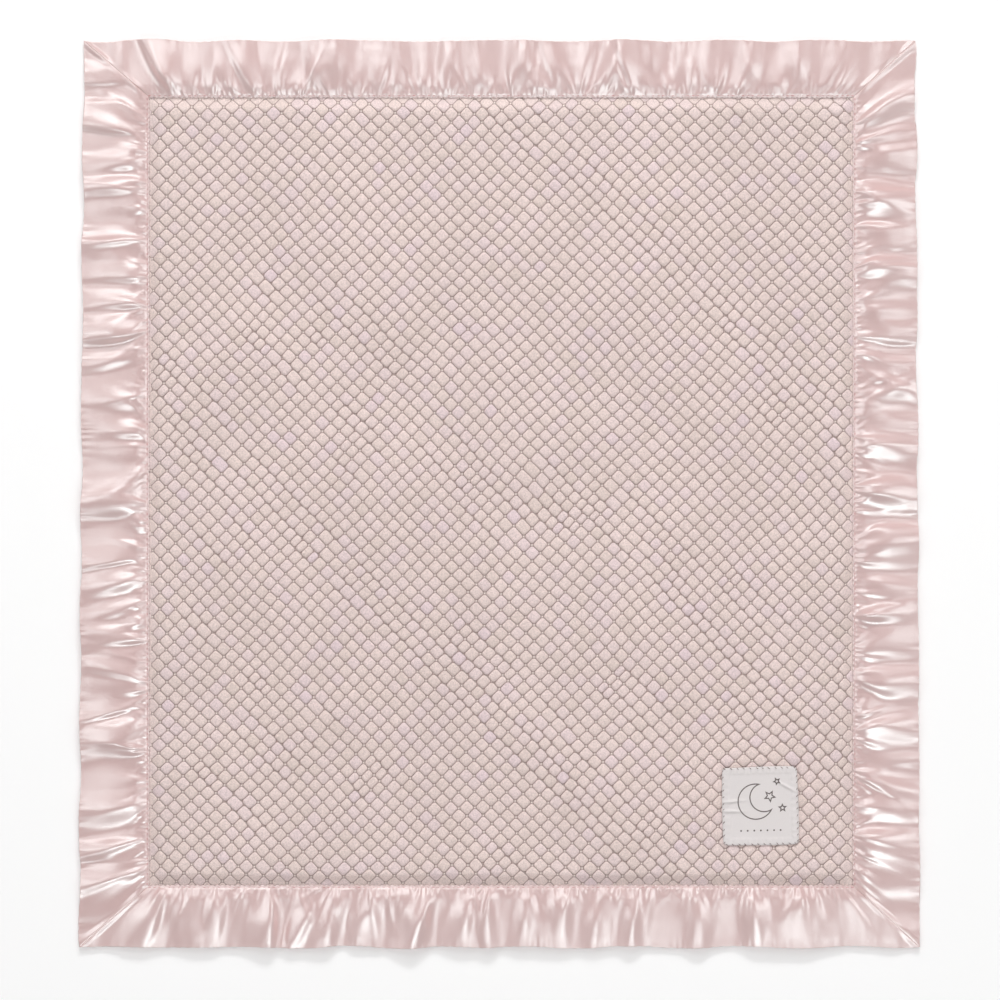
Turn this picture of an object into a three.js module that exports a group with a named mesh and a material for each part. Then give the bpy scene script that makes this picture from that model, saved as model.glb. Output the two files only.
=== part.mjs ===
// Baby blanket: two plush panels back to back, bound with a gathered and mitred satin border.
// Millimetres, +Z up. The blanket lies flat on z = 0 with its origin under the middle of its
// outline. +X runs to the right and +Y towards the top edge.
import * as THREE from "three";

// Outline of the blanket, measured to the folds of its border. It lies a little wider along
// the bottom than along the top.
const blanketWidth = 734;
const bottomFlare = 8;
const blanketLength = 800;

// Width of the satin border from its fold to the inner seam, at the top for the two long sides
const borderTop = 47.8;
const borderRight = 52.7;
const borderBottom = 52.2;
const borderLeft = 55.3;

// Cloth and thread
const plushThickness = 3.7;
const plushAtSeam = 0.8;
const satinThickness = 0.4;
const threadDiameter = 0.4;
const mitreThreadDiameter = 0.3;
const clearance = 0.3;

// Plush panels: how far they are caught inside the border, and how they thin towards the seam
const caughtWidth = 12;
const plushTaper = 12;
const plushCrown = 0.8;
const taperRows = 3;
const fieldRows = 5;

// Front leaf of the border: turned edge, puff behind the seam, gathers. The rises are counted
// from the top of the leaf where it is stitched down.
const turnedEdge = 2;
const stitchInset = 0.8;
const stitchBed = 0.4;
const puffRise = 1.65;
const middleRise = 0.15;
const puffPlace_share = 0.17;
const middlePlace_share = 0.58;
const puffWave = 0.9;
const middleWave = 0.8;
const gatherFade = 16;
const foldCount = 21;
const stepsPerFold = 4;

// How uneven the gathers are: lean across the leaf and drift along it in radians, and a slow
// rise and fall of their depth
const gatherLean = 1.9;
const gatherDrift = 1.1;
const driftRepeats = 5;
const depthShare = 0.25;
const depthRepeats = 7;

// Outer fold and back leaf of the border, and the thread that closes its mitres. The shares say
// how far the inside of the fold lies in from its outside, so that the cloth keeps its thickness.
const foldRoom = 0.8;
const foldRun = 1.5;
const foldInset_share = 2.1;
const foldDrop_share = 0.75;
const turnInset_share = 0.45;
const edgeWave = 0.8;
const backRise = 6;
const mitreSpare = 4;
const mitreEnd_share = 0.9;

// Label patch, sewn on near the bottom right corner
const labelWidth = 67;
const labelLength = 69;
const labelRight = 84.6;
const labelUp = 72.9;
const labelTurn = THREE.MathUtils.degToRad(1.3);
const labelCorner = 4;
const labelCloth = 0.5;
const labelHem = 0.9;
const hemWidth = 6;
const hemStep = 0.6;

// Facets of round shapes
const threadSides = 6;
const cornerSteps = 3;
const labelStitchSteps = 40;
const mitreSteps = 8;

// Heights of the layers that the inner seam holds together, from the bobbin thread up
const backThreadHeight = clearance / 2 + threadDiameter / 2;
const backLeafLift = backThreadHeight + threadDiameter / 2 + clearance;
const backPlushLow = backLeafLift + satinThickness + clearance;
const backPlushHigh = backPlushLow + plushAtSeam;
const facePlushLow = backPlushHigh + clearance;
const facePlushHigh = facePlushLow + plushAtSeam;
const frontLeafLow = facePlushHigh + clearance;
const frontLeafHigh = frontLeafLow + satinThickness;
const frontThreadHeight = frontLeafHigh + clearance + threadDiameter / 2;
const puffHeight = frontLeafHigh + puffRise;
const middleHeight = frontLeafHigh + middleRise;
const foldHeight = 2 * satinThickness + foldRoom;
const foldInset = foldInset_share * satinThickness;
const foldDrop = foldDrop_share * satinThickness;
const turnInset = turnInset_share * satinThickness;
const faceFieldLow = plushThickness + clearance;

// Rectangle of the inner seam, where the satin is stitched to the plush
const seamWidth = blanketWidth - borderLeft - borderRight;
const seamLength = blanketLength - borderTop - borderBottom;
const seamShiftX = (borderLeft - borderRight) / 2;
const seamShiftY = (borderBottom - borderTop) / 2;
const bottomWidth = blanketWidth + bottomFlare;

// Corners of the seam and of the outline, clockwise from the top left as seen from above
const seamCorners = [
  [-1, 1],
  [1, 1],
  [1, -1],
  [-1, -1],
].map(([x, y]) => new THREE.Vector2(seamShiftX + (x * seamWidth) / 2, seamShiftY + (y * seamLength) / 2));
const foldCorners = [
  new THREE.Vector2(-blanketWidth / 2, blanketLength / 2),
  new THREE.Vector2(blanketWidth / 2, blanketLength / 2),
  new THREE.Vector2(bottomWidth / 2, -blanketLength / 2),
  new THREE.Vector2(-bottomWidth / 2, -blanketLength / 2),
];
const sideNames = ["top", "right", "bottom", "left"];
const cornerNames = ["top_left", "top_right", "bottom_right", "bottom_left"];

const plushFinish = () => new THREE.MeshStandardMaterial({ color: 0xdac6c2, roughness: 0.95, metalness: 0 });
const satinFinish = () => new THREE.MeshStandardMaterial({ color: 0xe7d1d0, roughness: 0.4, metalness: 0 });
const seamThreadFinish = () => new THREE.MeshStandardMaterial({ color: 0xd3a9a5, roughness: 0.6, metalness: 0 });
const labelFinish = () => new THREE.MeshStandardMaterial({ color: 0xd7cfd0, roughness: 0.85, metalness: 0 });
const labelThreadFinish = () => new THREE.MeshStandardMaterial({ color: 0x7d6a66, roughness: 0.6, metalness: 0 });

// A closed skin, gathered point by point. Lines of points are joined by bands of triangles.
class Skin {
  constructor() {
    this.coordinates = [];
    this.triangles = [];
  }

  line(points) {
    const first = this.coordinates.length / 3;
    points.forEach((p) => this.coordinates.push(p.x, p.y, p.z));
    return points.map((_, i) => first + i);
  }

  // Two lines of equal count, or a coarse one beside one that has several steps for each of its own.
  // The underside of a cloth is split along the same diagonals as its face, so it stays parallel.
  band(near, far, isUnderside = false) {
    if (near.length === far.length) {
      for (let i = 0; i + 1 < near.length; i++) {
        const corners = [near[i], near[i + 1], far[i + 1], far[i]];
        if (isUnderside) corners.push(corners.shift());
        this.quad(...corners);
      }
      return;
    }
    const nearIsFine = near.length > far.length;
    const [fine, coarse] = nearIsFine ? [near, far] : [far, near];
    const join = (a, b, c) => this.triangles.push(...(nearIsFine ? [a, b, c] : [c, b, a]));
    const steps = (fine.length - 1) / (coarse.length - 1);
    const middle = Math.floor(steps / 2);
    for (let k = 0; k + 1 < coarse.length; k++) {
      for (let i = 0; i < steps; i++) {
        join(fine[k * steps + i], fine[k * steps + i + 1], coarse[i < middle ? k : k + 1]);
      }
      join(fine[k * steps + middle], coarse[k + 1], coarse[k]);
    }
  }

  quad(a, b, c, d) {
    this.triangles.push(a, b, c, a, c, d);
  }

  fan(loop) {
    for (let i = 1; i + 1 < loop.length; i++) this.triangles.push(loop[0], loop[i], loop[i + 1]);
  }

  mesh(name, finish) {
    const geometry = new THREE.BufferGeometry();
    geometry.setAttribute("position", new THREE.Float32BufferAttribute(this.coordinates, 3));
    geometry.setIndex(this.triangles);
    geometry.computeVertexNormals();
    const mesh = new THREE.Mesh(geometry, finish);
    mesh.name = name;
    return mesh;
  }
}

// One side of the border. Places are given by how far along the side they are, from 0 to 1, and
// by their share of the way from the inner seam out to the fold.
class BorderSide {
  constructor(index) {
    const next = (index + 1) % seamCorners.length;
    this.seamStart = seamCorners[index];
    this.seamEnd = seamCorners[next];
    this.foldStart = foldCorners[index];
    this.foldEnd = foldCorners[next];
    this.forward = this.seamEnd.clone().sub(this.seamStart).normalize();
    this.outward = new THREE.Vector2(-this.forward.y, this.forward.x);
    this.length = this.foldStart.distanceTo(this.foldEnd);
    this.start = index + 1;
  }

  widthAt(along) {
    const start = this.foldStart.clone().sub(this.seamStart).dot(this.outward);
    const end = this.foldEnd.clone().sub(this.seamEnd).dot(this.outward);
    return THREE.MathUtils.lerp(start, end, along);
  }

  // The ends are mitred, and half a clearance is left on each side of a mitre
  place(along, share, height) {
    const inset = (clearance / 2) * Math.SQRT2;
    const start = this.seamStart.clone().lerp(this.foldStart, share).addScaledVector(this.forward, inset);
    const end = this.seamEnd.clone().lerp(this.foldEnd, share).addScaledVector(this.forward, -inset);
    const flat = start.lerp(end, along);
    return new THREE.Vector3(flat.x, flat.y, height);
  }

  offset(along, distance, height) {
    return this.place(along, distance / this.widthAt(along), height);
  }

  // Height of the gathers at a place: slanting folds of uneven pitch that fade at the mitres
  gather(along, share) {
    const fromEnd = Math.min(along, 1 - along) * this.length;
    const fade = Math.min(1, fromEnd / gatherFade);
    const turns = 2 * Math.PI * along;
    const lean = gatherLean * Math.sin(Math.PI * share + this.start);
    const drift = gatherDrift * Math.sin(driftRepeats * turns + this.start);
    const depth = 1 - depthShare * (1 - Math.sin(depthRepeats * turns + 2 * this.start));
    return fade * depth * Math.sin(foldCount * turns + lean + drift);
  }

  strip(name) {
    const count = foldCount * stepsPerFold;
    const fine = Array.from({ length: count + 1 }, (_, i) => i / count);
    const coarse = Array.from({ length: foldCount + 1 }, (_, i) => i / foldCount);
    const puff = (s) => puffHeight + puffWave * this.gather(s, puffPlace_share);
    const middle = (s) => middleHeight + middleWave * this.gather(s, middlePlace_share);
    const rim = (s) => this.widthAt(s) + edgeWave * this.gather(s, 1);
    const under = (s) => this.widthAt(s) - foldRun;

    const outer = [
      coarse.map((s) => this.offset(s, -turnedEdge, frontLeafHigh)),
      fine.map((s) => this.offset(s, stitchBed, frontLeafHigh)),
      fine.map((s) => this.place(s, puffPlace_share, puff(s))),
      fine.map((s) => this.place(s, middlePlace_share, middle(s))),
      fine.map((s) => this.offset(s, rim(s), foldHeight)),
      fine.map((s) => this.offset(s, under(s), 0)),
      coarse.map((s) => this.offset(s, backRise, 0)),
      coarse.map((s) => this.offset(s, stitchBed, backLeafLift)),
      coarse.map((s) => this.offset(s, -turnedEdge, backLeafLift)),
    ];
    const inner = [
      coarse.map((s) => this.offset(s, -turnedEdge, frontLeafLow)),
      fine.map((s) => this.offset(s, stitchBed, frontLeafLow)),
      fine.map((s) => this.place(s, puffPlace_share, puff(s) - satinThickness)),
      fine.map((s) => this.place(s, middlePlace_share, middle(s) - satinThickness)),
      fine.map((s) => this.offset(s, rim(s) - foldInset, foldHeight - foldDrop)),
      fine.map((s) => this.offset(s, under(s) - turnInset, satinThickness)),
      coarse.map((s) => this.offset(s, backRise, satinThickness)),
      coarse.map((s) => this.offset(s, stitchBed, backLeafLift + satinThickness)),
      coarse.map((s) => this.offset(s, -turnedEdge, backLeafLift + satinThickness)),
    ];

    const skin = new Skin();
    const out = outer.map((points) => skin.line(points));
    const back = inner.map((points) => skin.line(points));
    skin.band(back[0], out[0]);
    skin.band(out.at(-1), back.at(-1));
    for (let i = 0; i + 1 < out.length; i++) {
      skin.band(out[i], out[i + 1]);
      skin.band(back[i + 1], back[i], true);
      skin.quad(out[i][0], out[i + 1][0], back[i + 1][0], back[i][0]);
      skin.quad(out[i + 1].at(-1), out[i].at(-1), back[i].at(-1), back[i + 1].at(-1));
    }
    return skin.mesh(name, satinFinish());
  }
}

// A straight thread or one along a smooth curve, round in section
function thread(name, points, diameter, steps, finish) {
  const section = new THREE.Shape(
    Array.from({ length: threadSides }, (_, i) => {
      const angle = (2 * Math.PI * i) / threadSides;
      return new THREE.Vector2(Math.cos(angle), Math.sin(angle)).multiplyScalar(diameter / 2);
    }),
  );
  const route = points.length === 2 ? new THREE.LineCurve3(...points) : new THREE.CatmullRomCurve3(points);
  const geometry = new THREE.ExtrudeGeometry(section, { steps, extrudePath: route, bevelEnabled: false });
  const mesh = new THREE.Mesh(geometry, finish);
  mesh.name = name;
  return mesh;
}

// The row of stitches along one side, just inside the seam line. The top and bottom rows run
// from corner to corner, and the other two stop short of them.
function stitchRow(name, side, stopsShort, height) {
  const stop = stitchInset + (stopsShort ? threadDiameter + clearance : 0);
  const inward = side.outward.clone().multiplyScalar(-stitchInset);
  const start = side.seamStart.clone().add(inward).addScaledVector(side.forward, stop);
  const end = side.seamEnd.clone().add(inward).addScaledVector(side.forward, -stop);
  const points = [start, end].map((p) => new THREE.Vector3(p.x, p.y, height));
  return thread(name, points, threadDiameter, 1, seamThreadFinish());
}

// The thread that closes a mitre, inside the fold. It starts beside the caught corner of the
// panels and ends in the tip of the corner.
function mitreThread(name, corner, heightAt) {
  const run = foldCorners[corner].clone().sub(seamCorners[corner]);
  const narrower = Math.min(Math.abs(run.x), Math.abs(run.y));
  const start = (caughtWidth + mitreSpare) / narrower;
  const points = [start, middlePlace_share, mitreEnd_share].map((share) => {
    const flat = seamCorners[corner].clone().lerp(foldCorners[corner], share);
    return new THREE.Vector3(flat.x, flat.y, heightAt(share));
  });
  return thread(name, points, mitreThreadDiameter, mitreSteps, seamThreadFinish());
}

// Top of the front leaf along a mitre, where the gathers have died out
function leafHeight(share) {
  if (share < middlePlace_share) {
    const t = (share - puffPlace_share) / (middlePlace_share - puffPlace_share);
    return THREE.MathUtils.lerp(puffHeight, middleHeight, t);
  }
  return THREE.MathUtils.lerp(middleHeight, foldHeight, (share - middlePlace_share) / (1 - middlePlace_share));
}

// Plush panels: how full the pile stands at a place, and the low crown of the field
function fullness(x, y) {
  const insideX = seamWidth / 2 - Math.abs(x - seamShiftX);
  const insideY = seamLength / 2 - Math.abs(y - seamShiftY);
  const fromLeaf = Math.min(insideX, insideY) - turnedEdge - clearance;
  return THREE.MathUtils.smoothstep(fromLeaf, 0, plushTaper);
}

function crown(x, y) {
  const acrossX = (2 * (x - seamShiftX)) / seamWidth;
  const acrossY = (2 * (y - seamShiftY)) / seamLength;
  return plushCrown * Math.max(0, 1 - acrossX ** 2) * Math.max(0, 1 - acrossY ** 2);
}

// Places of the grid lines across a panel: its caught edge, the taper and the open field
function panelStations(seamSize, shift) {
  const half = seamSize / 2;
  const leafEdge = half - turnedEdge - clearance;
  const full = leafEdge - plushTaper;
  const taper = Array.from({ length: taperRows }, (_, i) => leafEdge - (plushTaper * i) / taperRows);
  const left = [half + caughtWidth, ...taper].map((d) => shift - d);
  const field = Array.from({ length: fieldRows + 1 }, (_, i) => shift + full * ((2 * i) / fieldRows - 1));
  const right = [half + caughtWidth, ...taper].map((d) => shift + d).reverse();
  return [...left, ...field, ...right];
}

function plushPanel(name, lowAt, highAt) {
  const xs = panelStations(seamWidth, seamShiftX);
  const ys = panelStations(seamLength, seamShiftY);
  const skin = new Skin();
  const high = ys.map((y) => skin.line(xs.map((x) => new THREE.Vector3(x, y, highAt(x, y)))));
  const low = ys.map((y) => skin.line(xs.map((x) => new THREE.Vector3(x, y, lowAt(x, y)))));
  for (let row = 0; row + 1 < ys.length; row++) {
    skin.band(high[row], high[row + 1]);
    skin.band(low[row + 1], low[row], true);
    skin.quad(high[row][0], high[row + 1][0], low[row + 1][0], low[row][0]);
    skin.quad(low[row].at(-1), low[row + 1].at(-1), high[row + 1].at(-1), high[row].at(-1));
  }
  skin.band(low[0], high[0]);
  skin.band(high.at(-1), low.at(-1));
  return skin.mesh(name, plushFinish());
}

const backPanel = () =>
  plushPanel(
    "back_panel",
    (x, y) => THREE.MathUtils.lerp(backPlushLow, 0, fullness(x, y)),
    (x, y) => THREE.MathUtils.lerp(backPlushHigh, plushThickness, fullness(x, y)),
  );

const faceTop = (x, y) =>
  THREE.MathUtils.lerp(facePlushHigh, faceFieldLow + plushThickness + crown(x, y), fullness(x, y));

const facePanel = () =>
  plushPanel(
    "face_panel",
    (x, y) => THREE.MathUtils.lerp(facePlushLow, faceFieldLow, fullness(x, y)),
    faceTop,
  );

// A rounded rectangle, drawn inwards from the label's edge
function labelLoop(inset) {
  const halfWidth = labelWidth / 2 - inset;
  const halfLength = labelLength / 2 - inset;
  const radius = Math.max(labelCorner - inset, hemStep);
  const quarters = [
    [1, -1],
    [1, 1],
    [-1, 1],
    [-1, -1],
  ];
  return quarters.flatMap(([x, y], quarter) =>
    Array.from({ length: cornerSteps + 1 }, (_, i) => {
      const angle = (Math.PI / 2) * (quarter - 1 + i / cornerSteps);
      const arc = new THREE.Vector2(Math.cos(angle), Math.sin(angle)).multiplyScalar(radius);
      return arc.add(new THREE.Vector2(x * (halfWidth - radius), y * (halfLength - radius)));
    }),
  );
}

// Places on the label, turned with it and raised to a height over the crown of the field
const labelCentre = new THREE.Vector2(
  seamShiftX + seamWidth / 2 - labelRight,
  seamShiftY - seamLength / 2 + labelUp,
);
function onLabel(flat, height) {
  const p = flat.clone().rotateAround(new THREE.Vector2(), labelTurn).add(labelCentre);
  return new THREE.Vector3(p.x, p.y, faceTop(p.x, p.y) + height);
}

function labelPatch() {
  const skin = new Skin();
  const layers = [
    [0, clearance],
    [0, clearance + labelHem],
    [hemWidth, clearance + labelHem],
    [hemWidth + hemStep, clearance + labelCloth],
  ];
  const loops = layers.map(([inset, height]) => skin.line(labelLoop(inset).map((p) => onLabel(p, height))));
  const closed = loops.map((loop) => [...loop, loop[0]]);
  for (let i = 0; i + 1 < closed.length; i++) skin.band(closed[i], closed[i + 1]);
  skin.fan(loops[0].toReversed());
  skin.fan(loops.at(-1));
  return skin.mesh("label_patch", labelFinish());
}

// The overcast thread runs round the middle of the hem and ends just before its start
const stitchStart_share = 0.5;
const stitchEnd_share = 0.45;
function labelStitch() {
  const height = 2 * clearance + labelHem + threadDiameter / 2;
  const loop = labelLoop(hemWidth / 2);
  const start = loop.at(-1).clone().lerp(loop[0], stitchStart_share);
  const finish = loop.at(-1).clone().lerp(loop[0], stitchEnd_share);
  const points = [start, ...loop, finish].map((p) => onLabel(p, height));
  return thread("label_stitch", points, threadDiameter, labelStitchSteps, labelThreadFinish());
}

const blanket = new THREE.Group();
blanket.add(facePanel(), backPanel(), labelPatch(), labelStitch());
sideNames.forEach((name, index) => {
  const side = new BorderSide(index);
  const stopsShort = index % 2 === 1;
  blanket.add(side.strip(`border_${name}`));
  blanket.add(stitchRow(`front_stitch_${name}`, side, stopsShort, frontThreadHeight));
  blanket.add(stitchRow(`back_stitch_${name}`, side, stopsShort, backThreadHeight));
});
cornerNames.forEach((name, index) => {
  const spare = clearance + mitreThreadDiameter / 2;
  blanket.add(mitreThread(`mitre_front_${name}`, index, (share) => leafHeight(share) - satinThickness - spare));
  blanket.add(mitreThread(`mitre_back_${name}`, index, () => satinThickness + spare));
});

export default blanket;
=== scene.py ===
"""Baby blanket: two layers of embossed plush, bound with a gathered satin border and labelled."""

import math

import bmesh
import bpy
import numpy as np
from bpy.props import FloatProperty, FloatVectorProperty, IntProperty, PointerProperty
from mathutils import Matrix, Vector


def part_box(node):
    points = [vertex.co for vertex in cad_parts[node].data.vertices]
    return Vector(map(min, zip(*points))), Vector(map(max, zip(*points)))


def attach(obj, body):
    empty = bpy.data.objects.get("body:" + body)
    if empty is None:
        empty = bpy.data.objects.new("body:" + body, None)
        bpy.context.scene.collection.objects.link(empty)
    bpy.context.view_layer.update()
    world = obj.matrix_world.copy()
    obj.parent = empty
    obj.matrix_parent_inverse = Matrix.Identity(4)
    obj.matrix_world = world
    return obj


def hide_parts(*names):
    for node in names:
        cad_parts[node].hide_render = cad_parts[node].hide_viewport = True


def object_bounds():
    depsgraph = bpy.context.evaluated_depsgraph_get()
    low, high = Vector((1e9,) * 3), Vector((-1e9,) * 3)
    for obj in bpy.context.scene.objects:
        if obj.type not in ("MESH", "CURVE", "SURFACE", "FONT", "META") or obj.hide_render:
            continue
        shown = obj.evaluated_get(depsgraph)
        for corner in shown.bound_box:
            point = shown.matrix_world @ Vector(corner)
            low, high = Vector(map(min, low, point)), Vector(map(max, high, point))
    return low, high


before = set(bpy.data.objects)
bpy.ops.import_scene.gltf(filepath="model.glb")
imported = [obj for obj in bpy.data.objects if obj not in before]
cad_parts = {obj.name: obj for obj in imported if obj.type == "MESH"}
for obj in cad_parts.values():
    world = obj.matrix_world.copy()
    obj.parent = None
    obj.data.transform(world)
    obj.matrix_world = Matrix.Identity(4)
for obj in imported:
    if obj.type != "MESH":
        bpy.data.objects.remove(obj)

bl_info = {
    "name": "Baby blanket",
    "version": (1, 0, 0),
    "blender": (4, 5, 0),
    "location": "3D View > Sidebar > Blanket",
    "description": "Builds a plush baby blanket with a gathered satin border",
    "category": "Object",
}

CAD_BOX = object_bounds()
BODY = "root"
SIDES = ("top", "right", "bottom", "left")


def linear(code):
    """An sRGB hex code as linear red, green and blue."""
    parts = [int(code[i : i + 2], 16) / 255 for i in (1, 3, 5)]
    return tuple(p / 12.92 if p <= 0.04045 else ((p + 0.055) / 1.055) ** 2.4 for p in parts)


def length_prop(name, text, value):
    return FloatProperty(name=name, description=text, default=value, unit="LENGTH", precision=5)


def colour_prop(name, text, code):
    return FloatVectorProperty(
        name=name, description=text, default=linear(code), subtype="COLOR", min=0, max=1
    )


class BorderSettings(bpy.types.PropertyGroup):
    turned_edge: length_prop("Turned edge", "How far the satin laps over the plush", 0.002)
    stitch_bed: length_prop("Stitch bed", "Flat strip outside the inner seam line", 0.0004)
    column_pitch: length_prop("Column pitch", "Cloth grid spacing along the border", 0.001)
    row_pitch: length_prop("Row pitch", "Mean cloth grid spacing across the border", 0.0013)
    gauge: length_prop("Gauge", "Thickness of the satin", 0.0003)
    stitch_line: length_prop("Stitch line", "From the inner seam line in to the stitches", 0.0009)
    pucker: length_prop("Pucker", "Spacing of the fine puckers at the seam", 0.005)
    pucker_rise: length_prop("Pucker rise", "Height of the fine puckers", 0.0012)
    gather: length_prop("Gather", "Spacing of the gathers that the puckers run into", 0.021)
    gather_rise: length_prop("Gather rise", "Height of those gathers", 0.003)
    fold: length_prop("Fold", "Spacing of the folds that cross the border", 0.03)
    fold_rise: length_prop("Fold rise", "Height of those folds", 0.0054)
    swell: length_prop("Swell", "Spacing of the broad waves at the outer edge", 0.046)
    swell_rise: length_prop("Swell rise", "Height of those waves", 0.001)
    dimple_rise: length_prop("Dimple rise", "Height of the cloth between two stitches", 0.0006)
    frill_rise: length_prop("Frill rise", "Height of the turned edge between two stitches", 0.0005)
    mitre_rise: length_prop("Mitre rise", "Height of the satin along the mitres", 0.0012)
    rim_rise: length_prop("Rim rise", "Height of the small creases at the outer fold", 0.00018)
    puff: length_prop("Puff", "Height of the satin behind the seam", 0.0012)
    slant: FloatProperty(
        name="Slant", description="How far folds run askew, for their length", default=0.24
    )
    lean: FloatProperty(
        name="Lean", description="How far folds lean over, for their height", default=0.2
    )
    seed: IntProperty(name="Seed", description="Picks the pattern of the folds", default=11)
    colour: colour_prop("Colour", "Satin", "#ECBCB8")
    deeper: colour_prop("Deeper", "Satin in its deeper patches", "#E6B3AF")
    gloss: colour_prop("Gloss", "Tint of the satin's gloss", "#F2FFFF")


class PlushSettings(bpy.types.PropertyGroup):
    pitch: length_prop("Cell pitch", "Side of a cell of the lattice, groove to groove", 0.0101)
    groove: length_prop("Groove", "Width of a groove's floor", 0.0003)
    corner: length_prop("Corner", "Radius of a cell's corners", 0.0022)
    relief: length_prop("Relief", "Depth of the grooves", 0.0013)
    warp: length_prop("Warp", "How far the lattice wanders", 0.0018)
    taper: length_prop("Taper", "Width over which the pile thins towards the seam", 0.012)
    caught: length_prop("Caught", "Width that the border holds", 0.012)
    dot_reach: FloatProperty(name="Dot reach", description="Half a dot's length in cells", default=0.13)
    slips: IntProperty(name="Slips", description="Stretches where rows have slid", default=90)
    seed: IntProperty(name="Seed", description="Picks the slips and the tints", default=5)
    colour: colour_prop("Colour", "Pile, as it faces up", "#E7D4CF")
    mauve: colour_prop("Mauve", "Cooler cells", "#E4D0D3")
    taupe: colour_prop("Taupe", "Browner cells", "#E0CEC7")
    # Painted shade: the colour that the pile gets down in the grooves, where shade falls
    painted_groove_shade: colour_prop("Shade", "Pile down in the grooves", "#A6918C")
    dot: colour_prop("Dot", "Ground showing at the crossings", "#EADCD6")


class StitchSettings(bpy.types.PropertyGroup):
    pitch: length_prop("Pitch", "Length of a seam stitch", 0.0044)
    thickness: length_prop("Thickness", "Diameter of the seam thread", 0.00065)
    label_pitch: length_prop("Label pitch", "Spacing of the label's overcast stitches", 0.0058)
    label_length: length_prop("Label stitch", "Length of an overcast stitch", 0.0026)
    label_thickness: length_prop("Label thread", "Diameter of the label's thread", 0.00055)
    seed: IntProperty(name="Seed", description="Picks how the stitches vary", default=3)
    colour: colour_prop("Colour", "Seam thread", "#D59D9D")
    label_colour: colour_prop("Label thread", "Overcast thread", "#7C6864")


class LabelSettings(bpy.types.PropertyGroup):
    pitch: length_prop("Grid", "Grid spacing of the label", 0.0008)
    hem: length_prop("Hem", "Width of the turned hem", 0.006)
    corner: length_prop("Corner", "Radius of the corners", 0.004)
    gauge: length_prop("Gauge", "Thickness of the cloth", 0.0005)
    turn: FloatProperty(name="Turn", description="Turn in the plane", default=0.0227, unit="ROTATION")
    colour: colour_prop("Colour", "Cloth", "#E3DDDC")
    ink: colour_prop("Ink", "Printed lines", "#4E413E")
    line: length_prop("Line", "Width of a printed line", 0.0008)


class StageSettings(bpy.types.PropertyGroup):
    metres_per_pixel: FloatProperty(
        name="Metres a pixel", description="Scale of the picture at the face", default=0.000882
    )
    centre_right: length_prop("Right", "Picture centre, right of the origin", 0.0004)
    centre_up: length_prop("Up", "Picture centre, above the origin", -0.0053)
    distance: length_prop("Distance", "Camera height over the face", 2.6)
    picture: IntProperty(name="Picture", description="Width of the picture in pixels", default=1000)
    floor: colour_prop("Floor", "White floor", "#FFFFFF")


def settings(name):
    return getattr(bpy.context.scene, f"blanket_{name}")


# Sizes that come from the frame


# Air between two layers that lie on each other there
CLEARANCE = 0.0003


def seam_rectangle():
    """Left, right, bottom and top of the inner seam line."""
    turned = settings("border").turned_edge
    return (
        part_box("border_left")[1][0] - turned,
        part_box("border_right")[0][0] + turned,
        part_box("border_bottom")[1][1] - turned,
        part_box("border_top")[0][1] + turned,
    )


def corner_points():
    """Seam and fold corners, clockwise from the top left as seen from above."""
    left, right, low, high = seam_rectangle()
    seam = np.array([(left, high), (right, high), (right, low), (left, low)])
    top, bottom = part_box("border_top"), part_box("border_bottom")
    end = max(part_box("border_left")[1][1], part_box("border_right")[1][1])
    start = min(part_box("border_left")[0][1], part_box("border_right")[0][1])
    fold = np.array(
        [(top[0][0], end), (top[1][0], end), (bottom[1][0], start), (bottom[0][0], start)]
    )
    return seam, fold


# Meshes


def fast_mesh(name, places, faces):
    """A new smooth mesh from an array of places and one of triangles or quads."""
    mesh = bpy.data.meshes.new(name)
    faces = np.asarray(faces, np.int32)
    count, sides = faces.shape
    mesh.vertices.add(len(places))
    mesh.vertices.foreach_set("co", np.asarray(places, np.float32).ravel())
    mesh.loops.add(count * sides)
    mesh.loops.foreach_set("vertex_index", faces.ravel())
    mesh.polygons.add(count)
    mesh.polygons.foreach_set("loop_start", np.arange(count, dtype=np.int32) * sides)
    mesh.polygons.foreach_set("use_smooth", np.ones(count, bool))
    mesh.update(calc_edges=True)
    return mesh


def linked(name, data):
    """A new object of a mesh, a lamp or a camera, at the origin."""
    obj = bpy.data.objects.new(name, data)
    bpy.context.scene.collection.objects.link(obj)
    return obj


def set_attribute(mesh, name, values):
    layer = mesh.attributes.new(name, "FLOAT", "POINT")
    layer.data.foreach_set("value", np.asarray(values, np.float32))


def grid_faces(rows, columns):
    """Quads of a grid whose places run column by column within each row."""
    row, column = np.meshgrid(np.arange(rows - 1), np.arange(columns - 1), indexing="ij")
    a = (row * columns + column).ravel()
    return np.stack([a, a + columns, a + columns + 1, a + 1], 1)


def finish_mesh(obj, material, node):
    """Gives a piece its material, hangs it from its body, and hides the node that it replaces."""
    obj.data.materials.clear()
    obj.data.materials.append(material)
    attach(obj, BODY)
    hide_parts(node)


# Materials


def new_material(name):
    """An empty material, and its node tree."""
    material = bpy.data.materials.new(name)
    material.use_nodes = True
    material.node_tree.nodes.clear()
    return material, material.node_tree


def add(tree, kind, inputs=(), **fields):
    """A node with its fields set. Each input gets a value, a socket or a node's first output."""
    node = tree.nodes.new(kind)
    for name, value in fields.items():
        setattr(node, name, value)
    for key, value in inputs.items() if isinstance(inputs, dict) else enumerate(inputs):
        if isinstance(value, bpy.types.Node):
            value = value.outputs[0]
        if isinstance(value, bpy.types.NodeSocket):
            tree.links.new(value, node.inputs[key])
        else:
            node.inputs[key].default_value = value
    return node


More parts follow.
